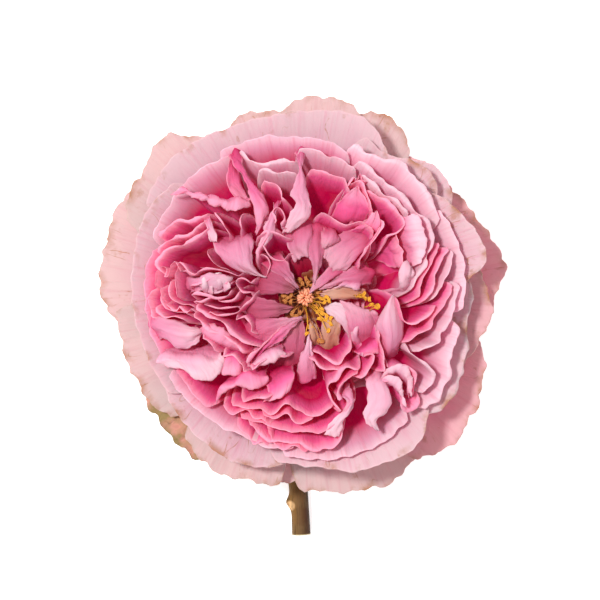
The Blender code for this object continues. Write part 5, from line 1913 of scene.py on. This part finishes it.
MIDDLE_FLAPS = (
    Flap("eye_band", (
        ((-6, 10.5, 37.5), (-8.5, 9.3, 38.6), (-10.8, 8, 38)),
        ((-4.4, 8.6, 39), (-6.4, 7.4, 39.4), (-8.2, 6.2, 38.8)),
        ((-3, 5.4, 38), (-3.9, 4.6, 38), (-4.8, 4.2, 37.6)),
        ((-1.9, 2.4, 36), (-1.7, 1.9, 36), (-1.7, 1.7, 35.8)))),
    Flap("eye_lower_left", (
        ((-15, -5.5, 36), (-14.5, -10, 37.5), (-11, -13.5, 37)),
        ((-11.6, -5.2, 38), (-11, -8.2, 39), (-8.6, -10.8, 38.4)),
        ((-5.8, -5.2, 37.8), (-5.6, -6.9, 38.2), (-5, -8.6, 37.6)),
        ((-0.6, -4.9, 36.4), (-0.8, -5.4, 36.5), (-1.6, -6.2, 36.2)))),
    Flap("eye_right_face", (
        ((11, -13, 35), (15.5, -11, 37), (19.5, -7, 38)),
        ((10.6, -8, 38.6), (14, -6.6, 40), (18, -4.4, 40.4)),
        ((9.8, -3.4, 39.2), (12.6, -3, 40.2), (17, -3.2, 40.6)),
        ((8.4, -0.8, 38.9), (12.2, -1.9, 39.6), (17, -2.9, 40.2))), crinkle=0.45),
    Flap("eye_right_upper", (
        ((16, 3.4, 37), (16.5, 6.4, 38), (14, 8.6, 37)),
        ((12.6, 2.6, 38.8), (12.6, 4.8, 39.6), (10.8, 6.8, 38.8)),
        ((9.4, 2.9, 38), (9.4, 4.4, 38.8), (8.4, 6, 38)),
        ((5.4, 2, 36.6), (5.6, 2.9, 37), (5.6, 4, 36.6)),
        ((3.6, 1.6, 35.8), (3.8, 2.1, 36), (3.9, 2.8, 35.8))), crinkle=0.4),
    Flap("eye_right_tip", (
        ((8.6, 5.8, 38), (9.4, 7.4, 38.6), (8.4, 8.8, 38)),
        ((6.2, 4.2, 38.2), (6.6, 5.8, 39), (5.6, 7, 38.4)),
        ((3.8, 2.5, 37.4), (4, 3.6, 37.9), (3.2, 4.6, 37.3)),
        ((2, 1.4, 36.2), (2, 1.9, 36.4), (1.6, 2.4, 36.1)),
        ((1.1, 0.7, 35.6), (1.1, 0.9, 35.6), (1, 1.1, 35.6)))),
    Flap("eye_upper_right", (
        ((16.5, 10.6, 37), (16.4, 14.6, 38.6), (11.5, 18.5, 38)),
        ((13.4, 10.2, 39.4), (12.4, 12.8, 40.6), (8.8, 15.8, 40)),
        ((10, 7, 39), (8.4, 9.8, 40.6), (5.4, 13.2, 40.4)),
        ((7.4, 6, 37.8), (5.9, 7.6, 39), (4.4, 10, 39.6))), crinkle=0.4),
    Flap("eye_ear", (
        ((7.6, 15, 39), (6.4, 16.6, 39.8), (4.4, 17.4, 39)),
        ((8.4, 14.2, 41.2), (6.2, 15.4, 42), (4, 15.4, 41)),
        ((7.8, 13.4, 41.6), (5.6, 13.8, 42.6), (3.8, 13, 41.4)),
        ((5.6, 12.6, 41), (4.9, 12.2, 41.4), (4.2, 11.4, 40.8)))),
    Flap("eye_crease", (
        ((5.4, 17, 37.6), (2.5, 17.5, 38.2), (-0.4, 16.5, 37.6)),
        ((5, 12.6, 39), (2.8, 13, 39.6), (0.2, 12.2, 38.8)),
        ((4, 8, 38.2), (2.8, 8.2, 38.6), (1.5, 8.2, 38)),
        ((2.5, 3.4, 36.4), (2.2, 3.3, 36.4), (1.9, 3.2, 36.4))), crinkle=0.4),
    Flap("eye_top", (
        ((2.6, 18, 37), (-1.5, 18.5, 38), (-6, 17.5, 37)),
        ((1.8, 14.6, 39), (-1, 15, 39.8), (-4.8, 14.4, 39)),
        ((1.2, 12, 38.8), (-0.8, 12.2, 39.2), (-4, 11.4, 38.6)),
        ((1.3, 10.2, 38), (-0.7, 9.6, 38), (-2.6, 8.4, 37.6))), crinkle=0.4),
)
PALE_EYE_FLAPS = (
    Flap("eye_spike", (
        ((-1.9, -20, 37), (0.6, -21, 38), (3, -20, 37.4)),
        ((-1.3, -15, 39.4), (0.4, -15.4, 40.2), (1.9, -14.4, 39.6)),
        ((0.1, -11.8, 39.4), (0.8, -11.8, 39.8), (1.5, -11.6, 39.4)),
        ((0.9, -9.2, 38.8), (1, -9.1, 38.8), (1.1, -9.2, 38.8)))),
    Flap("eye_fold_low", (
        ((12.4, -12.6, 36), (13.6, -11.4, 37), (14.2, -9.8, 36.6)),
        ((11.4, -10.2, 38.4), (12.4, -9.4, 39.4), (13.6, -8.2, 39)),
        ((11, -8.6, 38.8), (12.2, -7.9, 39.8), (14, -7.2, 39.4)),
        ((11.6, -7.4, 38.4), (12.8, -7, 39), (14.4, -6.7, 38.8)))),
    Flap("eye_frill", (
        ((13.6, 3.2, 38.4), (11.6, 4.2, 39), (9.6, 4.4, 38.4)),
        ((13.2, 2.1, 39.2), (11.2, 3, 39.9), (8.4, 2.9, 39)),
        ((12.6, 1.4, 38.7), (10.6, 2.3, 39.2), (7, 2.1, 38.2))), crinkle=0.4),
    Flap("eye_bottom_lip", (
        ((-13.4, -13.6, 38), (-12.2, -14.8, 38.4), (-10.6, -15, 38)),
        ((-10.8, -11.4, 39.6), (-9.8, -12.6, 40.2), (-8, -12.8, 39.6)),
        ((-7.4, -9.6, 39.4), (-6.7, -10.4, 39.8), (-5.6, -10.8, 39.4)),
        ((-4.4, -7.9, 38.4), (-4.1, -8.3, 38.5), (-3.8, -8.9, 38.4)))),
)
WHITE_FLAPS = (
    Flap("shell_left", (
        ((-22.6, 0.9, 42.4), (-23.8, 0.8, 42.8), (-25, 1.6, 42.4)),
        ((-22.2, 2.4, 43.4), (-23.6, 2.6, 44.4), (-25.4, 3, 43.4)),
        ((-22.8, 4, 43.2), (-24, 4.6, 44), (-25.4, 4.2, 43))), crinkle=0.6, deep=0.7),
    Flap("shell_right", (
        ((-19.2, 1.6, 42.4), (-20.2, 1.5, 42.8), (-21.4, 2.2, 42.4)),
        ((-18.6, 3, 43.2), (-20, 3.4, 44.2), (-21.8, 3.8, 43.2)),
        ((-19, 4.8, 43), (-20.2, 5.7, 43.6), (-21.6, 5.2, 42.8))), crinkle=0.6, deep=0.7),
    Flap("eye_white", (
        ((11.4, -12, 35.6), (13.4, -9, 36.8), (14.6, -5.5, 37)),
        ((9.4, -7.4, 38.2), (10.4, -5.6, 39), (12, -3.2, 39)),
        ((7.6, -5.6, 38), (8.6, -4, 38.8), (10.6, -1.9, 38.8)),
        ((5.6, -4, 37), (6.4, -3, 37.4), (8, -1.2, 37.6)),
        ((4.6, -3, 36.2), (4.8, -2.6, 36.2), (5.4, -2.1, 36.2))), crinkle=0.2),
)
CREAM_FLAPS = (
    Flap("eye_cream_small", (
        ((1.3, -12.5, 34), (2.6, -13, 35), (4.2, -12.5, 34.6)),
        ((1, -9.6, 36.6), (2.2, -9.9, 37.4), (3.6, -9.4, 36.6)),
        ((0.9, -7.6, 36.6), (2, -7.2, 37.2), (3.3, -7.6, 36.6)),
        ((1.4, -6.5, 35.8), (2.1, -6, 36), (3, -6.5, 35.8))), crinkle=0.35),
    Flap("eye_cream_long", (
        ((3.4, -13.5, 34.4), (5.4, -13.5, 35), (8.4, -12, 35)),
        ((3.6, -10.2, 36.2), (5.4, -10, 37), (8.4, -9, 37)),
        ((3.9, -7.6, 36.6), (5.6, -7, 37.4), (8.8, -5.8, 37.8)),
        ((3.9, -5.8, 36), (5.2, -5, 36.6), (7.4, -3.8, 37))), crinkle=0.4),
    Flap("eye_right_long", (
        ((14.4, -0.6, 37.4), (15.4, 0.4, 38), (14.6, 1.8, 37.6)),
        ((9.6, -0.6, 37.4), (10.6, 0.9, 38), (10.4, 2.6, 37.4)),
        ((6.2, -0.4, 36.2), (6.8, 0.9, 36.8), (6.6, 2.3, 36.4)),
        ((3.9, 0.4, 35.2), (4, 0.9, 35.4), (4.2, 1.4, 35.2)))),
)
# A petal deep at the back of the eye, in dark tissue that paints the shade there.
CRIMSON_FLAPS = (
    Flap("eye_back_wall", (
        ((2.2, 3, 31.6), (-0.2, 3.6, 31.4), (-2.6, 2.8, 31.6)),
        ((2.4, 6, 33.6), (-0.2, 6.6, 33.4), (-3, 5.6, 33.6)),
        ((2.6, 9.6, 36), (0, 10.8, 36.6), (-3.4, 9.2, 36)))),
)

# Rings of hidden petals: the line they end on, their count, the first one's bearing, their sink.
HIDDEN_RINGS = tuple(petal for ring in (
    (13, 5, 20, 0.3), (17.5, 6, 50, 0.42), (22, 6, 10, 0.46), (26.5, 7, 35, 0.48), (31, 7, 0, 0.48),
    (35.5, 8, 25, 0.44)) for petal in hidden_ring(*ring))
OUTER_HIDDEN_RINGS = tuple(petal for ring in (
    (39, 7, 15, 0.4), (42, 7, 45, 0.4), (45, 7, 10, 0.4),
    (48, 7, 40, 0.4)) for petal in hidden_ring(*ring))

GUARD_TISSUE = PetalTissue(
    "guard_tissue", throat="#D47E96", blade="#DDBDC5", lip="#E2D1CF", back="#D4BCC1",
    edge="#E2D2C4", glow="#F0A6B4", blade_at=0.8, lip_at=0.93, bruising=1.0, crumple_height_mm=0.5)
# Painted shade: a pinker copy of the guard tissue paints the pink shadow that the bloom casts on the
# right and lower guards.
SHADED_GUARD_TISSUE = replace(
    GUARD_TISSUE, name="shaded_guard_tissue", throat="#D67C98", blade="#E8B0C2", lip="#EACACE",
    back="#DAAEBC", edge="#E6D0C6", glow="#F89CB2", blade_at=0.84, lip_at=0.98)
WILTED_TISSUE = replace(
    GUARD_TISSUE, name="wilted_tissue", throat="#C07878", blade="#E2AE9C", lip="#AE9A6A",
    back="#A88E64", edge="#9A8450", glow="#E8BC98", bruise="#7E6234", blade_at=0.84, lip_at=1.04,
    mottle_mm=5.0, mottle=1.1, bruising=1.2, crumple_height_mm=1.2)
SPREADING_TISSUE = PetalTissue(
    "spreading_tissue", throat="#DA6498", blade="#E1BDCD", lip="#E5D5D9", back="#D8BAC8",
    edge="#F0DEDE", glow="#F2A0BE", bruising=0.7, crumple_height_mm=0.5)
COLLAR_TISSUE = PetalTissue(
    "collar_tissue", throat="#D61062", blade="#E8B4CE", lip="#F0DEE8", edge="#FFE0EC",
    glow="#FA98C0", throat_at=0.56, blade_at=0.83, crumple_height_mm=0.5)
# Painted light: the right-hand collars wear a paler copy of the collar tissue, which paints them as lit
# where the bloom shades them.
PAINTED_LIGHT_COLLAR_TISSUE = replace(
    COLLAR_TISSUE, name="painted_light_collar_tissue", throat="#D83C80", blade="#ECBED2", lip="#F4E6EC",
    glow="#FFB0D0", blade_at=0.8)
INNER_TISSUE = PetalTissue("inner_tissue")
PALE_TISSUE = PetalTissue(
    "pale_tissue", throat="#DE4284", blade="#ECAACA", lip="#F8DCE8", back="#ECC2D6",
    edge="#FFD8E8", glow="#FF92C0", lip_at=0.94, see_through=0.42)
WHITE_TISSUE = PetalTissue(
    "white_tissue", throat="#E688B0", blade="#EAC4D4", lip="#F4E0E8", back="#E6CAD8",
    edge="#FFDDE6", glow="#FFC0D6", see_through=0.4)
EYE_TISSUE = PetalTissue(
    "eye_tissue", throat="#BC284C", blade="#D4688C", lip="#CA7278", back="#E294B2",
    edge="#E698B0", glow="#FF84A8")
MIDDLE_TISSUE = PetalTissue(
    "middle_tissue", throat="#D42462", blade="#E688B0", lip="#F0C2D4", back="#ECB0C8",
    glow="#FF8CB6")
CREAM_TISSUE = PetalTissue(
    "cream_tissue", throat="#C87C64", blade="#DCA48C", lip="#E8C4B0", back="#DCB09C",
    glow="#FFCCAC", bruising=0.6)
# Painted shade: the petal at the back of the eye is coloured dark crimson all over for the deep shade it
# stands in.
PAINTED_SHADE_CRIMSON_TISSUE = PetalTissue(
    "painted_shade_crimson_tissue", claw="#8A0A34", throat="#A81040", blade="#B8183E", lip="#C03858",
    back="#B8284E", edge="#D05878", glow="#E02858")
FRESH_ANTHER = MoistTissue(
    "anther_pollen", low="#8A5410", high="#DA9A2A", grain_mm=0.3, roughness=0.75)
SPENT_ANTHER = MoistTissue("spent_anthers", low="#4E1D10", high="#B8753A", grain_mm=0.3)
STYLE_TISSUE = MoistTissue("style_tissue", low="#A8503C", high="#F0A07C")
DISC_TISSUE = MoistTissue("disc_tissue", low="#3A120C", high="#7E3A20", grain_mm=0.8)


def main() -> None:
    """Build the flower from the stem up, in the studio."""
    logging.basicConfig(level=logging.INFO, format="%(name)s: %(message)s")
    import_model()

    anthers = "anther_pollen"
    guards = Whorl(
        GUARD_TISSUE, "guard", GUARD_FRAMED, GUARD_EXTRA, slot_name="guard_petal", shoulder=0.02,
        rim=0.25, rows=36, wave=0.15, wave_mm=21.0, frill=0.1, frill_mm=5.0, jag=0.011, tail=3.0,
        tail_sink=0.15, depth_mm=60.0)
    collar = Whorl(
        COLLAR_TISSUE, "collar", COLLAR_FRAMED, slot_name="collar_petal", wave=0.25, wave_mm=15.0,
        frill=0.06, frill_mm=5.0, jag=0.008, depth_mm=20.0)
    parts = (
        Studio(WhiteAcrylic()),
        Stem(Bark(), slot_name="stem_bark"),
        Calyx(SepalSkin(), slot_name="sepal_green"),
        guards,
        replace(guards, finish=SHADED_GUARD_TISSUE, name="shaded_guard",
                framed=SHADED_GUARD_FRAMED, extra=()),
        replace(guards, finish=WILTED_TISSUE, name="wilted", framed=WILTED_FRAMED, extra=(),
                wave=0.3, wave_mm=15.0, frill=0.2, jag=0.01, tail=2.0, tail_sink=0.1),
        replace(guards, finish=SPREADING_TISSUE, name="spreading", framed=SPREADING_FRAMED,
                extra=(), slot_name="spreading_petal", rim=0.2, wave_mm=19.0, frill=0.03,
                frill_mm=6.0, jag=0.006, tail=5.0, tail_sink=0.2),
        collar,
        # Right-hand collars: paler tissue and a longer pale band, both painted light.
        replace(collar, finish=PAINTED_LIGHT_COLLAR_TISSUE, name="open_collar", framed=OPEN_COLLAR_FRAMED,
                depth_mm=23.0),
        Whorl(INNER_TISSUE, "shaded_collar", SHADED_COLLAR_FRAMED, slot_name="collar_petal",
              wave=0.2, wave_mm=14.0, depth_mm=22.0),
        Whorl(COLLAR_TISSUE, "pale_inner", PALE_FRAMED, PALE_EXTRA, depth_mm=25.0),
        Whorl(INNER_TISSUE, "inner", INNER_FRAMED, INNER_EXTRA),
        Whorl(INNER_TISSUE, "hidden", (), HIDDEN_RINGS, rows=20, spacing=1.1, rim_rows=2),
        Whorl(COLLAR_TISSUE, "outer_hidden", (), OUTER_HIDDEN_RINGS, slot_name="collar_petal",
              rows=16, spacing=1.6, rim_rows=2),
        Flaps(INNER_TISSUE, "folded", INNER_FLAPS),
        Flaps(PALE_TISSUE, "pale", PALE_FLAPS),
        Flaps(EYE_TISSUE, "eye", EYE_FLAPS),
        Flaps(MIDDLE_TISSUE, "middle", MIDDLE_FLAPS),
        Flaps(PALE_TISSUE, "pale_eye", PALE_EYE_FLAPS),
        Flaps(WHITE_TISSUE, "white", WHITE_FLAPS),
        Flaps(CREAM_TISSUE, "cream", CREAM_FLAPS),
        Flaps(PAINTED_SHADE_CRIMSON_TISSUE, "crimson", CRIMSON_FLAPS),
        Styles(STYLE_TISSUE, slot_name="style_tissue"),
        Disc(DISC_TISSUE, slot_name="style_tissue"),
        Stamens(FRESH_ANTHER, "stamen_ring", FRESH_ANTHERS, node="stamens", slot_name=anthers),
        Stamens(SPENT_ANTHER, "spent_stamens", SPENT_ANTHERS, arch=0.4, slot_name=anthers),
        Stamens(FRESH_ANTHER, "stray_stamens", STRAY_ANTHERS, stray=True, slot_name=anthers),
    )
    for part in parts:
        part.build()
        part.dress()


if __name__ == "__main__":
    main()
